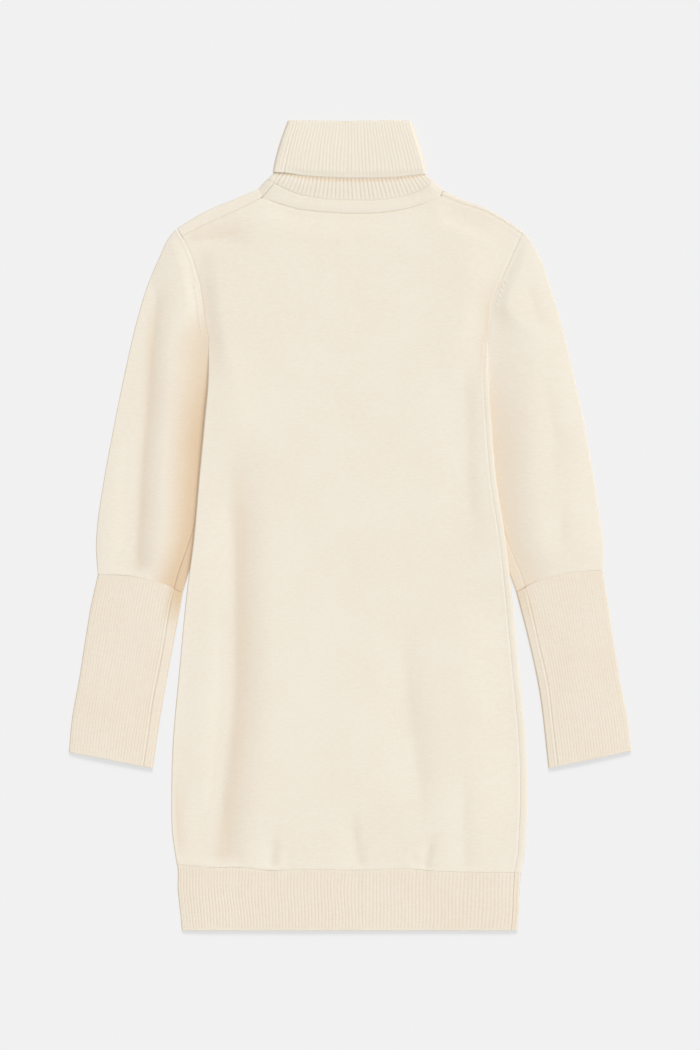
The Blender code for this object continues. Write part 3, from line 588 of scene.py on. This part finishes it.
def bodyHeights(across, up, xy, seamInset):
    x, y = xy[..., 0], xy[..., 1]
    width = readAt(body["edges"], y, 2) - readAt(body["edges"], y, 1)
    inset = np.minimum(across, 1.0 - across) * width
    lift = bodyLift(inset, y)
    toTop = (2.0 - up) * body["yokeHeight"]
    toHem = up * body["skirtHeight"]
    armpit = body["armpitY"]
    reach = 0.022 + 0.022 * softStep(armpit, armpit - 0.080, y) + 0.012 * softStep(0.290, 0.350, y)
    reach = reach * (1.0 + 0.6 * softStep(0.4, 0.6, across))
    puff = (body["puff"] + 0.0007 * softStep(0.20, -0.10, y)) * softStep(-0.002, 0.034, toTop)
    puff = puff * (0.42 + 0.58 * softStep(0.0, 0.09, toHem))
    puff = puff + 0.0003 * ripple(x, y, 0.16, 0.7) * softStep(0, 0.02, toTop)
    edge = 2 * edgeRound(y)
    thick = edge + (puff - edge) * softStep(0.0, 1.0, inset / reach)
    sunk = np.minimum(folds(body["folds"], x, y), thick + 0.0002)
    thick = thick - sunk
    thick = thick + seamLine(toTop, 0.0002, 0.0034, 0.0018) + seamLine(seamInset, 0.0001, 0.0028, 0.0016)
    level = body["backLevel"] + lift
    raised = level + folds(body["backFolds"], x, y) * softStep(0.0, 0.03, inset)
    return raised, level + 2 * body["turn"] + np.maximum(thick, -0.0004)


def grid(columns, rows):
    across, up = np.meshgrid(columnOf(columns, 0), rows)
    return across, np.broadcast_to(np.array(columnOf(columns, 1)), across.shape), up


nearSeam = (0.0012, 0.0026, 0.0042, 0.0062, 0.0090, 0.0130, 0.0190)
bodyRows = np.concatenate([shares(185, (0.0007, 0.0015, 0.0028, 0.0045, 0.0070, 0.0100)),
                           shares(46, (0.0030, 0.0065, 0.0110, 0.0180, 0.0270, 0.0400), 1.0, 2.0)[1:]])


def rightFlap(up):
    return 0.0060 + 0.0090 * softStep(1.0, 0.93, up)


def leftWrap(up):
    return 0.0035 + 0.0100 * softStep(1.0, 0.9, up)


def frontPanel():
    columns = [(0.0, math.pi)] * 2 + [(0.0, angle) for angle in turn(math.pi)]
    main = shares(112, nearSeam)
    first = len(columns)
    columns += [(share, 2 * math.pi) for share in main]
    across, angle, up = grid(columns, bodyRows)
    above = up > 1.0
    end = np.where(above, 1.0, 1.0 - rightFlap(up) - 0.0003)
    across = np.where(angle < 2 * math.pi, across, across * end)
    across[:, 0] = leftWrap(up[:, 0])
    xy = frontXY(across, up)
    inset = np.where(above, np.minimum(across, 1 - across), np.where(across > 0.5, end - across, 1.0))
    inset = inset * body["width"]
    back, front = bodyHeights(across, up, xy, inset)
    points = roundTube(xy, angle, back, front, np.array([1.0, 0.0]))
    points[above[:, 0], :first] = np.nan
    edge = np.minimum(across, 1.0 - across) * body["chestWidth"]
    # painted shade in the armhole valley
    paintedShade = body["armholeShade"] * armholeShadeMask(edge, xy[..., 1])
    # painted shade in the groove of the shoulder and neck seams
    paintedShade = paintedShade + body["seamShade"] * bump((2.0 - up) * body["yokeHeight"], 0.0, 0.0012)
    # painted shade on the steep side of each fold
    paintedShade = paintedShade + foldShade(body["folds"], xy[..., 0], xy[..., 1], body["foldShade"])
    return shell("front_knit", points, body["wall"], plainKnit, "front_panel",
                 paintedShade)


def shoulderTurn(across, first):  # the back comes over each shoulder and down to the seam in front
    low, high = body["neckShares"]
    inward = body["wall"] / 2 + body["turn"]
    rows = [(angle, 0.0) for angle in (*turn(math.pi), 2 * math.pi)]
    rows += [(2 * math.pi, part) for part in (0.3, 0.6, 0.8, 0.9, 0.96, 1.0)]
    points = np.full((len(rows), len(across), 3), np.nan)
    for side, inside, along in (("left", across <= low, across / low),
                                ("right", across >= high, (across - high) / (1 - high))):
        inside = inside.copy()
        inside[:first] = False
        part = np.clip(along[inside], 0, 1)
        seam, down = shoulderSeam(side, part)
        inner = curve(moved(body[side + "Shoulder"], -inward), part)
        for row, (angle, way) in enumerate(rows):
            xy = inner + down * body["turn"] * math.sin(angle) + (seam - inner) * way
            z = body["backLevel"] + body["turn"] * (1.0 + math.cos(angle))
            width = np.linalg.norm(seam - inner, axis=-1)
            z = z + 0.0003 * np.sin(math.pi * way) - 0.0002 * bump((1 - way) * width, 0.0, 0.0009)
            points[row, inside] = np.concatenate([xy, z[..., None] + np.zeros((len(xy), 1))], axis=-1)
    return points


def backPanel():
    columns = [(share, 0.0) for share in (0.0, 0.12, 0.3, 0.6, 1.0)] + [(1.0, angle) for angle in turn(0.0)]
    first = len(columns)
    main = shares(76, nearSeam[::2])
    main = np.unique(np.concatenate([main, body["neckShares"]]))
    columns += [(share, math.pi) for share in main[::-1]]
    across, angle, up = grid(columns, bodyRows)
    above = up > 1.0
    flap = rightFlap(up)
    across = np.where(angle == 0.0, 1.0 - flap + flap * across, across)
    across[:, -1] = np.where(above[:, -1], 0.0, leftWrap(up[:, -1]) + 0.0003)
    for column in (-2, -3, -4):  # columns stay in order beside the strip that comes from the front
        across[:, column] = np.maximum(across[:, column], across[:, column + 1] + 0.001)
    xy = backXY(across, up)
    back, front = bodyHeights(across, up, xy, np.full(up.shape, 1.0))
    inset = (across - 1.0 + flap) * body["width"]
    radius = body["turn"] + edgeRound(xy[..., 1])
    edgeFront = body["backLevel"] + 2 * radius + bodyLift(np.zeros(up.shape), xy[..., 1])
    front = np.where(across > 0.5, edgeFront + seamLine(inset, 0.0001, 0.0028, 0.0014), front)
    points = roundTube(xy, angle, back, front, np.array([1.0, 0.0]))
    points[above[:, 0], :first] = np.nan
    points = np.concatenate([points, shoulderTurn(across[-1], first)])
    return shell("back_knit", points, body["wall"], plainKnit, "back_panel")


# ---- ribbed tubes and bands
ribs = {
    "wall": 0.0013,
    "depth": 0.00034,
    "columns": 6,  # columns of points to a rib
    "backLevel": 0.0010,
    "turn": 0.00110,
    "shade": 0.38,
}


def ribColumns(width, radius, start, end, count):
    # even steps round a flat tube from one share of its face to another, and the rib's phase there
    arc = math.pi * radius
    lengths = [(1 - start) * width, arc, width, arc, end * width]
    place = np.concatenate(([0.0], np.cumsum(lengths)))
    steps = np.linspace(0.0, place[-1], count * ribs["columns"] + 1)
    share = np.interp(steps, place, [start, 1, 1, 0, 0, end])
    angle = np.interp(steps, place, [0, 0, math.pi, math.pi, 2 * math.pi, 2 * math.pi])
    return share, angle, steps / place[-1] * count


def ribGroove(phase, strength=1.0):  # wide rounded ribs, not all alike, and narrow grooves
    uneven = 0.86 + 0.14 * np.sin(1.9 * np.round(phase)) * np.cos(0.37 * np.round(phase))
    return (np.abs(np.sin(math.pi * phase)) ** 0.6 - 1.0) * ribs["depth"] * strength * uneven


# painted shade in the grooves between ribs, deeper grooves darker
def ribGrooveShade(groove):
    return -groove / ribs["depth"] * ribs["shade"]


hems = {
    "low": -0.48125,
    "width": 0.40,
    "height": 0.07,
    "ribCount": 100,
    "strength": 0.8,
    "front": {
        "puff": 0.0008,
        "ripple": 0.00025,
        "columns": 6,
        "spread": 0.14,
        "lap": 0.014,
        "face": 0.9845,
        "shares": (0.014, 0.0, 0.0, 0.9845),
        "angle": math.pi,
        "restsOn": "back_hem_knit",
    },
    "back": {
        "puff": 0.0,
        "ripple": 0.0,
        "columns": 4,
        "spread": 0.0,
        "lap": 0.015,
        "face": 0.985,
        "shares": (0.985, 1.0, 1.0, 0.0145),
        "angle": 0.0,
        "restsOn": "floor",
    },
}


def hemRib(name, node, cut):
    # the lap past the side edge, the turn round it, then the rest of the band
    runs = [cut["lap"] * hems["width"], math.pi * ribs["turn"], cut["face"] * hems["width"]]
    place = np.concatenate(([0.0], np.cumsum(runs)))
    part = np.linspace(0, 1, hems["ribCount"] * cut["columns"] + 1)
    steps = place[-1] * ((1 - cut["spread"]) * part + cut["spread"] * part**2)  # ribs widen to the right
    share = np.interp(steps, place, cut["shares"])
    angle = np.interp(steps, place, cut["angle"] + math.pi * np.array([0, 0, 1, 1]))
    phase = hems["ribCount"] * part
    across, up = np.meshgrid(share, shares(20, (0.010, 0.022, 0.036, 0.052)))
    high = hemSeamAt(across) - body["seamGap"] / 2
    y = hems["low"] + (high - hems["low"]) * up
    left, right = sideAt(y, 1, ribs["wall"], ribs["turn"]), sideAt(y, 2, ribs["wall"], ribs["turn"])
    toSide = np.minimum(across, 1 - across)
    wobble = 0.0008 * np.sin(y * 60 + across * 31) * np.sin(math.pi * up) * np.sin(across * 9.0)
    x = left + (right - left) * across + wobble * softStep(0, 0.05, toSide)
    fade = softStep(0.0, 0.05, up) * (0.35 + 0.65 * softStep(1.0, 0.94, up))
    groove = ribGroove(phase, hems["strength"])[None, :] * fade
    puff = cut["puff"] * softStep(-0.01, 0.07, toSide) * (0.75 + 0.25 * up)
    puff = puff + cut["ripple"] * ripple(x, y, 0.09, 1.3)
    puff = puff - 0.0002 * bump((1 - up) * hems["height"], 0, 0.0009)
    # the creases above the seam run on a little into the band
    puff = puff - 0.45 * np.minimum(folds(body["folds"], x, np.maximum(y, -0.4035)), 0.0016) * up**3
    back = np.full(y.shape, ribs["backLevel"])
    top = back + 2 * ribs["turn"] + np.maximum(puff, -0.0005)
    xy = np.stack([x, y], axis=-1)
    points = roundTube(xy, np.broadcast_to(angle, y.shape), back, top, np.array([1.0, 0.0]), groove)
    return shell(name, points, ribs["wall"], ribKnit, node,
                 ribGrooveShade(groove), even=False)


# ---- sleeves and cuffs
sleeves = {
    "puff": 0.0037,
    "innerTurn": 0.0007,
    "seam": 0.905,  # share of the width where the closing seam lies, near the cuff
    "seamAbove": 0.985,  # and higher up, where it goes under the body
    "armpitShare": 0.655,  # share of the outer edge that is level with the armpit
    "cuffBow": 0.0072,
    "armholeGap": 0.00005,
    "seamHalf": 0.0008,
    "lowerLength": 0.28,
    "capFall": 0.020,  # where the slope to the body ends, above the armpit
    # painted fold shade on the sleeves: strength, gentle side, shift to the steep side
    "foldShade": (64.0, 0.25, 0.22),
    "left": {
        "side": -1,
        "outer": ((-0.3000, -0.0590), (-0.3022, -0.0290), (-0.3000, 0.0065), (-0.2930, 0.0540),
                  (-0.2830, 0.1080), (-0.2670, 0.1870), (-0.2535, 0.2445), (-0.2420, 0.2830),
                  (-0.2260, 0.3210), (-0.2170, 0.3400), (-0.2080, 0.3518)),
        "inner": ((-0.1990, -0.0800), (-0.1945, -0.0650), (-0.1870, -0.0400), (-0.1790, 0.0000),
                  (-0.1720, 0.0540), (-0.1650, 0.1250), (-0.1600, 0.1600), (-0.1590, 0.1800),
                  (-0.1625, 0.2000), (-0.1650, 0.2190)),
        "tip": (-0.2042, 0.3508),
        "cuffOuter": ((-0.3345, -0.2695), (-0.3310, -0.2315), (-0.3225, -0.1840), (-0.3150, -0.1360),
                      (-0.3070, -0.0890), (-0.3000, -0.0590)),
        "cuffInner": ((-0.2350, -0.2886), (-0.2240, -0.2155), (-0.2140, -0.1600), (-0.1990, -0.0800)),
        "fall": (0.005, 0.058),  # where the slope down to the body starts and ends, from the inner edge
        "shade": 0.94,  # painted shade on that slope, for the shadow of the body's raised edge, and its share beside the armpit
        "shadeAbove": 0.62,
        "marks": (0.232, 0.290),  # heights between which the narrowing marks lie
        "folds": (
            (0.0041, (0.0280, 0.0420), (0.25, 0.05), (-0.2166, 0.3100), (-0.2404, 0.2445),
             (-0.2463, 0.1493), (-0.2535, 0.0541), (-0.2570, -0.0173), (-0.2606, -0.0620)),
            (0.0008, (0.0130, 0.0200), (0.40, 0.30), (-0.1950, 0.3100), (-0.1830, 0.2600), (-0.1810, 0.2200)),
        ),
    },
    "right": {
        "side": 1,
        "outer": ((0.3000, -0.0530), (0.3012, -0.0290), (0.2975, 0.0065), (0.2900, 0.0540),
                  (0.2810, 0.1080), (0.2640, 0.1870), (0.2500, 0.2445), (0.2380, 0.2830),
                  (0.2250, 0.3210), (0.2145, 0.3390), (0.2083, 0.3478)),
        "inner": ((0.1975, -0.0790), (0.1925, -0.0650), (0.1830, -0.0400), (0.1740, 0.0000),
                  (0.1660, 0.0540), (0.1600, 0.1250), (0.1572, 0.1600), (0.1578, 0.1800),
                  (0.1588, 0.2000), (0.1602, 0.2190)),
        "tip": (0.2045, 0.3466),
        "cuffOuter": ((0.3345, -0.2680), (0.3300, -0.2315), (0.3210, -0.1840), (0.3130, -0.1360),
                      (0.3060, -0.0890), (0.3000, -0.0530)),
        "cuffInner": ((0.2360, -0.2886), (0.2235, -0.1880), (0.2120, -0.1350), (0.1975, -0.0790)),
        "fall": (0.002, 0.064),
        "shade": 0.36,
        "shadeAbove": 0.12,
        "marks": (0.258, 0.294),
        "folds": (
            (0.0007, (0.0160, 0.0240), (0.40, 0.40), (0.2080, 0.2950), (0.2270, 0.2300)),
            (0.0007, (0.0140, 0.0220), (0.40, 0.40), (0.2500, 0.0350), (0.2520, -0.0400)),
            (0.0007, (0.0240, 0.0340), (0.35, 0.35), (0.2250, 0.1900), (0.2420, 0.1000), (0.2400, 0.0300)),
        ),
    },
}


def ruled(outer, inner, across):
    direction = inner - outer
    width = np.linalg.norm(direction, axis=-1)
    return outer + direction * across[..., None], direction / width[..., None], width


def sleeve(name, node, cut):
    side = cut["side"]
    columns = [(share, 0.0) for share in (0.0, 0.15, 0.35, 0.6, 0.85, 1.0)]  # past the closing seam
    columns += [(1.0, angle) for angle in turn(0.0)]
    before = len(columns)
    columns += [(share, math.pi) for share in shares(24)[::-1]]
    columns += [(0.0, angle) for angle in turn(math.pi)]
    face = np.concatenate([shares(40, (0.004, 0.010, 0.018, 0.030)), np.linspace(0.87, 0.998, 20)])
    columns += [(share, 2 * math.pi) for share in np.unique(face)]
    rows = np.concatenate([shares(80, (0.002, 0.005, 0.009, 0.015)), shares(90, (), 1.0, 2.0)[1:]])
    across, angle, up = grid(columns, rows)
    above = up > 1.0
    seam = sleeves["seam"] + (sleeves["seamAbove"] - sleeves["seam"]) * softStep(0.06, 0.40, up)
    half = sleeves["seamHalf"]
    across = np.where(angle == 0.0, seam + half + (1 - seam - half) * across, across)
    across = np.where(angle == 2 * math.pi, across * np.where(above, 1.0, seam - half), across)
    lower, higher = np.clip(up, 0, 1), np.clip(up - 1, 0, 1)
    inward = body["wall"] / 2 + body["turn"]
    outerEdge = moved(cut["outer"], side * inward)
    innerEdge = moved(cut["inner"], -side * inward)
    hole = body["leftArmhole" if side < 0 else "rightArmhole"]
    hole = np.vstack([innerEdge[-1], moved((*hole, cut["tip"]), -side * sleeves["armholeGap"])])
    share = sleeves["armpitShare"]
    outer = curve(outerEdge, lower * share + higher * (1 - share))
    innerLine = np.where(above[..., None], curve(hole, higher), curve(innerEdge, lower))
    xy, direction, width = ruled(outer, innerLine, across)
    xy[..., 1] += sleeves["cuffBow"] * np.sin(math.pi * across) * softStep(0.25, 0.0, up)
    x, y = xy[..., 0], xy[..., 1]
    toInner = (1 - across) * width
    toCuff = up * sleeves["lowerLength"]
    low, high = cut["fall"]
    low = low * softStep(1.0, 0.93, up)
    high = high - (high - sleeves["capFall"]) * softStep(0.95, 1.35, up) - 0.014 * softStep(0.10, -0.02, y)
    rise = softStep(0.0, 1.0, (toInner - low) / (high - low))
    puff = sleeves["puff"] * (1 - np.exp(-across * width / 0.028))
    puff = puff * (0.55 + 0.45 * softStep(0.0, 0.04, toCuff))
    puff = puff + 0.0004 * ripple(x, y, 0.10, 2.2 + side)
    puff = puff - np.minimum(folds(cut["folds"], x, y), puff + 0.0003)
    flat = 2 * (body["turn"] - sleeves["innerTurn"])
    joined = softStep(0.97, 1.12, up)
    height = flat * joined + (flat * (1 - joined) + puff) * rise
    bottom, top = cut["marks"]
    marks = bump(toInner, 0.0062, 0.0017) * softStep(bottom - 0.004, bottom + 0.004, y)
    marks = marks * softStep(top + 0.004, top - 0.004, y) * softStep(1.0, 1.05, up)
    height = height + 0.00045 * marks * np.cos((y + 0.9 * toInner) * math.pi / 0.0058) ** 2
    height = height + 0.0003 * bump(toInner, 0.0030, 0.0018) * softStep(1.30, 1.65, up)
    toSeam = np.where(above, toInner, np.abs(across - seam) * width)
    height = height + seamLine(toSeam, 0.0001 * ~above, 0.0030, 0.0015)
    back = np.full(up.shape, body["backLevel"])
    front = back + 2 * sleeves["innerTurn"] + np.maximum(height, -0.0002)
    points = roundTube(xy, angle, back, front, direction)
    points[above[:, 0], :before] = np.nan
    # painted shadow on the slope down to the body, where the body's raised edge shades the sleeve
    troughShade = softStep(low + (high - low) * 1.05, low, toInner) * ((angle > 6) | (angle < 2))
    troughShade = troughShade * softStep(1.45, 0.85, up)
    troughShade = troughShade * (cut["shadeAbove"] + (1 - cut["shadeAbove"]) * softStep(0.220, 0.090, y))
    paintedShade = cut["shade"] * troughShade + foldShade(cut["folds"], x, y, sleeves["foldShade"])
    return shell(name, points, body["wall"], plainKnit, node, paintedShade)


cuffs = {
    "width": 0.096,
    "ribCount": 58,
    "strength": 0.62,
    "stripStrength": 0.4,  # flatter ribs, with warm painted shade, past the closing seam
    "stripShade": 0.03,
    "wedgeShade": 0.8,  # share of the sleeve's painted shade beside the body
    "seamHalf": 0.0012,
    "puff": 0.0010,
    "lap": 0.0003,  # the cuff's top covers this much of the sleeve
    # painted shade on the cuffs' turned edges
    "edgeShade": 0.70,
}


def cuff(name, node, cut):
    side = cut["side"]
    seam = sleeves["seam"]
    share, angle, phase = ribColumns(cuffs["width"], ribs["turn"], seam + cuffs["seamHalf"],
                                     seam - cuffs["seamHalf"], cuffs["ribCount"])
    across, up = np.meshgrid(share, shares(42, (0.004, 0.009, 0.014)))
    angle = np.broadcast_to(angle, across.shape)
    inward = ribs["wall"] / 2 + ribs["turn"]
    outer = curve(moved(cut["cuffOuter"], side * inward), up)
    inner = curve(moved(cut["cuffInner"], -side * inward), up)
    xy, direction, width = ruled(outer, inner, across)
    xy[..., 1] += sleeves["cuffBow"] * np.sin(math.pi * across) * softStep(0.5, 1.0, up)
    xy[..., 1] += cuffs["lap"] * softStep(0.9, 1.0, up)
    x, y = xy[..., 0], xy[..., 1]
    inside = softStep(0, 0.1, np.minimum(across, 1 - across))
    wobble = 0.0006 * np.sin(y * 55 + across * 12 + side) * np.sin(math.pi * np.clip(up, 0, 1))
    towardsSeam = -side * 0.0030 * bump(across, 0.80, 0.10) * softStep(0.90, 1.0, up)
    xy[..., 0] += (wobble + towardsSeam * (angle > 6)) * inside
    fade = softStep(0.0, 0.018, up) * (0.80 + 0.20 * softStep(1.0, 0.965, up))
    strip = (angle == 0.0) | ((angle < 2.0) & (across > 0.99))
    fade = fade * np.where(strip, cuffs["stripStrength"], 1.0)
    groove = ribGroove(phase, cuffs["strength"])[None, :] * fade
    puff = cuffs["puff"] * np.sin(math.pi * np.clip(across, 0, 1)) ** 0.6
    puff = puff + 0.0002 * ripple(x, y, 0.07, 0.4 + side)
    puff = puff + seamLine(np.abs(across - seam) * width, 0.0002, 0.0024, 0.0011, 0.0009)
    back = np.full(up.shape, ribs["backLevel"])
    front = back + 2 * ribs["turn"] + np.maximum(puff, -0.0005)
    points = roundTube(xy, angle, back, front, direction, groove)
    toInner = (1 - across) * width
    # painted shade where the cuff runs under the body's edge, and on the strip past the seam
    wedge = cuffs["wedgeShade"] * cut["shade"] * softStep(0.74, 1.0, up) * softStep(0.022, 0.004, toInner)
    paintedShade = ribGrooveShade(groove) + (cuffs["stripShade"] * strip + wedge) * ((angle > 6) | (angle < 2))
    return shell(name, points, ribs["wall"], ribKnit, node,
                 paintedShade, even=False, edgeShade=cuffs["edgeShade"])


# ---- neck band and roll collar
collar = {
    "bandEnds": ((-0.0985, 0.4115), (0.0985, 0.4095)),
    "frontBandTop": ((-0.0870, 0.4045), (-0.0640, 0.3940), (-0.0400, 0.3885), (0.0000, 0.3860),
                     (0.0480, 0.3880), (0.0760, 0.3950), (0.0900, 0.4020)),
    "backBandTop": ((-0.0860, 0.4025), (-0.0400, 0.3930), (0.0000, 0.3905), (0.0400, 0.3930),
                    (0.0860, 0.4015)),
    "edges": ((0.4000, -0.0950, 0.0935), (0.4200, -0.0920, 0.0905), (0.4540, -0.0830, 0.0810),
              (0.48125, -0.0740, 0.0730)),
    "lowerEdge": ((0.0, 0.4195), (0.07, 0.4188), (0.18, 0.4160), (0.34, 0.4142), (0.5, 0.4130),
                  (0.66, 0.4133), (0.8, 0.4140), (0.92, 0.4160), (1.0, 0.4175)),
    "layer": 0.0025,
    "width": 0.166,
    "seam": 0.052,
    "seamHalf": 0.0005,
    "bandSeam": 0.040,
    "bandSeamHalf": 0.0001,
    "tuck": 0.0008,  # the stand starts this far below the band's top edge
    "ribCount": 84,
    "top": 0.48125,
    "lipDrop": 0.0017,  # the lower edge of the turn-down lies closer to the stand
    # painted shadow on the stand just below the turn-down's lower edge
    "lipShade": 0.52,
    "paleTint": 0.18,
    # painted shade on the collar's turned edges
    "edgeShade": 0.20,
}
collar["level"] = ribs["backLevel"] + 1.5 * collar["layer"]


def neckRise(x, y):
    climb = softStep(0.388, 0.412, y) * softStep(0.109, 0.093, np.abs(x))
    return (collar["level"] - ribs["backLevel"] - ribs["turn"]) * climb


def between(left, middle, right, share, clear):
    points = np.vstack([left, middle, right])
    length = np.linalg.norm(np.diff(points, axis=0), axis=1).sum()
    return curve(points, clear / length + share * (1 - 2 * clear / length))


def neckLine(front, share, clear):
    leftSeam, _ = shoulderSeam("left", np.array(1.0))
    rightSeam, _ = shoulderSeam("right", np.array(0.0))
    middle = np.vstack([leftSeam, body["frontNeck"], rightSeam]) if front else body["backNeck"]
    line = between(body["leftShoulder"][-1], middle, body["rightShoulder"][0], share, clear)
    return line + np.array([0.0, 0.0004])


def bandLine(front, share, clear):
    middle = collar["frontBandTop" if front else "backBandTop"]
    return between(collar["bandEnds"][0], middle, collar["bandEnds"][1], share, clear)


def neckBand():
    seam, half = collar["bandSeam"], collar["bandSeamHalf"]
    columns = [(share, 0.0) for share in shares(100, (), seam + half, 1.0)]
    columns += [(1.0, angle) for angle in turn(0.0)] + [(share, math.pi) for share in shares(60)[::-1]]
    columns += [(0.0, angle) for angle in turn(math.pi)]
    columns += [(share, 2 * math.pi) for share in shares(9, (), 0.0, seam - half)]
    across, angle, up = grid(columns, shares(14, (0.03, 0.07, 0.12)))
    face = ((1 + np.cos(angle)) / 2)[..., None]
    clear = body["wall"] / 2 + body["turn"]

    def line(front, share, part):
        low, high = neckLine(front, share, clear), bandLine(front, share, clear)
        return low + (high - low) * part

    xy = face * line(True, across, up[..., None]) + (1 - face) * line(False, across, up[..., None])
    direction = heading(lambda share: line(True, share, up[..., None]), across)
    back = body["backLevel"] + neckRise(xy[..., 0], xy[..., 1])
    puff = 0.0007 * np.sin(math.pi * up) - 0.0002 * bump(up, 0, 0.05) + 0.0005 * softStep(0.6, 1.0, up)
    front = back + 2 * body["turn"] + puff * softStep(-0.02, 0.03, np.minimum(across, 1 - across))
    points = roundTube(xy, angle, back, front, direction)
    return shell("neck_band_knit", points, body["wall"], plainKnit, "neck_band")


def rollCollar():
    seam = collar["seam"]
    share, angle, phase = ribColumns(collar["width"], 1.5 * collar["layer"], seam + collar["seamHalf"],
                                     seam - collar["seamHalf"], collar["ribCount"])
    half = collar["layer"] / 2
    reach = 1.5 * collar["layer"] + ribs["wall"] / 2
    crown = collar["top"] - ribs["wall"] / 2 - half
    edge = readAt(collar["lowerEdge"], share)
    face = ((1 + np.cos(angle)) / 2)[:, None]
    clear = ribs["wall"] / 2 + ribs["turn"]
    sideways = np.array([1.0, 0.0])
    rows, paintedShade = [], []
    ends = softStep(0.0, 0.10, np.minimum(share, 1 - share))

    def ring(y, radius):
        left, right = readAt(collar["edges"], y, 1) + reach, readAt(collar["edges"], y, 2) - reach
        x = left + (right - left) * share
        x = x + 0.0007 * np.sin(y * 75 + share * 17) * np.sin(share * 11) * ends
        return np.stack([x, y], axis=-1), collar["level"] - radius, collar["level"] + radius

    def add(xy, back, front, direction, strength, shaded=0.0):
        groove = ribGroove(phase, strength)
        rows.append(roundTube(xy, angle, back + 0 * share, front + 0 * share, direction, groove))
        paintedShade.append(ribGrooveShade(groove) + shaded - collar["paleTint"])

    upper, _, _ = ring(edge - 0.0004, half)
    start = face * bandLine(True, share, clear) + (1 - face) * bandLine(False, share, clear)
    start = start - np.array([0.0, collar["tuck"]])
    ahead = heading(lambda part: bandLine(True, part, clear), share)
    # the stand, then up inside the turn-down, over the fold at the top and down the outside
    for part in (0, 0.03, 0.06, 0.10, 0.15, 0.22, 0.32, 0.44, 0.56, 0.68, 0.78, 0.84, 0.89, 0.93, 0.97):
        xy = start + (upper - start) * part
        back = ribs["backLevel"] + neckRise(xy[:, 0], xy[:, 1])
        bulge = 0.0005 * math.sin(math.pi * part) - 0.0012 * float(softStep(0.12, 0.0, part))
        add(xy, back, back + 2 * ribs["turn"] + bulge, ahead * (1 - part) + sideways * part,
            0.10 + 1.40 * float(softStep(0.02, 0.20, part)),
            collar["lipShade"] * float(softStep(0.74, 0.96, part)))
    for part in np.linspace(0, 1, 6):
        xy, back, front = ring(edge - 0.0004 + (crown - edge + 0.0004) * part, half)
        add(xy, back, front, sideways, 1.0)
    uneven = 0.0005 * np.sin(share * 9.0 + 0.6) + 0.0003 * np.sin(share * 23.0)
    for step in range(1, turnSteps + 1):
        at = math.pi * step / turnSteps
        radius = collar["layer"] - half * math.cos(at)
        xy, back, front = ring(np.full(share.shape, crown + half * math.sin(at)), radius)
        xy[:, 1] += (ribGroove(phase) + uneven - 0.0005) * math.sin(at)
        add(xy, back, front, sideways, 0.6)
    nearLip = [0.09, 0.07, 0.055, 0.04, 0.028, 0.018, 0.008, 0.0]
    for part in np.concatenate([np.linspace(0.96, 0.12, 20), nearLip]):
        xy, back, front = ring(edge + (crown - edge) * part, 1.5 * collar["layer"])
        hang = (0.0010 + 0.0005 * np.sin(share * 7.0 + 1.0)) * math.sin(math.pi * part)
        hang = hang - collar["lipDrop"] * float(softStep(0.12, 0.0, part)) * softStep(0.0, 0.2, share)
        hang = hang + seamLine((share - seam) * collar["width"], 0.0001, -0.0022, 0.0011, 0.0009)
        add(xy, back, front + hang, sideways, 0.95 * float(softStep(0.02, 0.10, part)))
    return shell("collar_knit", np.array(rows), ribs["wall"], ribKnit, "collar",
                 np.array(paintedShade), even=False, edgeShade=collar["edgeShade"])


backPanel()
frontPanel()
hemRib("back_hem_knit", "back_hem_rib", hems["back"])
hemRib("front_hem_knit", "front_hem_rib", hems["front"])
sleeve("left_sleeve_knit", "sleeve_left", sleeves["left"])
sleeve("right_sleeve_knit", "sleeve_right", sleeves["right"])
cuff("left_cuff_knit", "cuff_left", sleeves["left"])
cuff("right_cuff_knit", "cuff_right", sleeves["right"])
neckBand()
rollCollar()
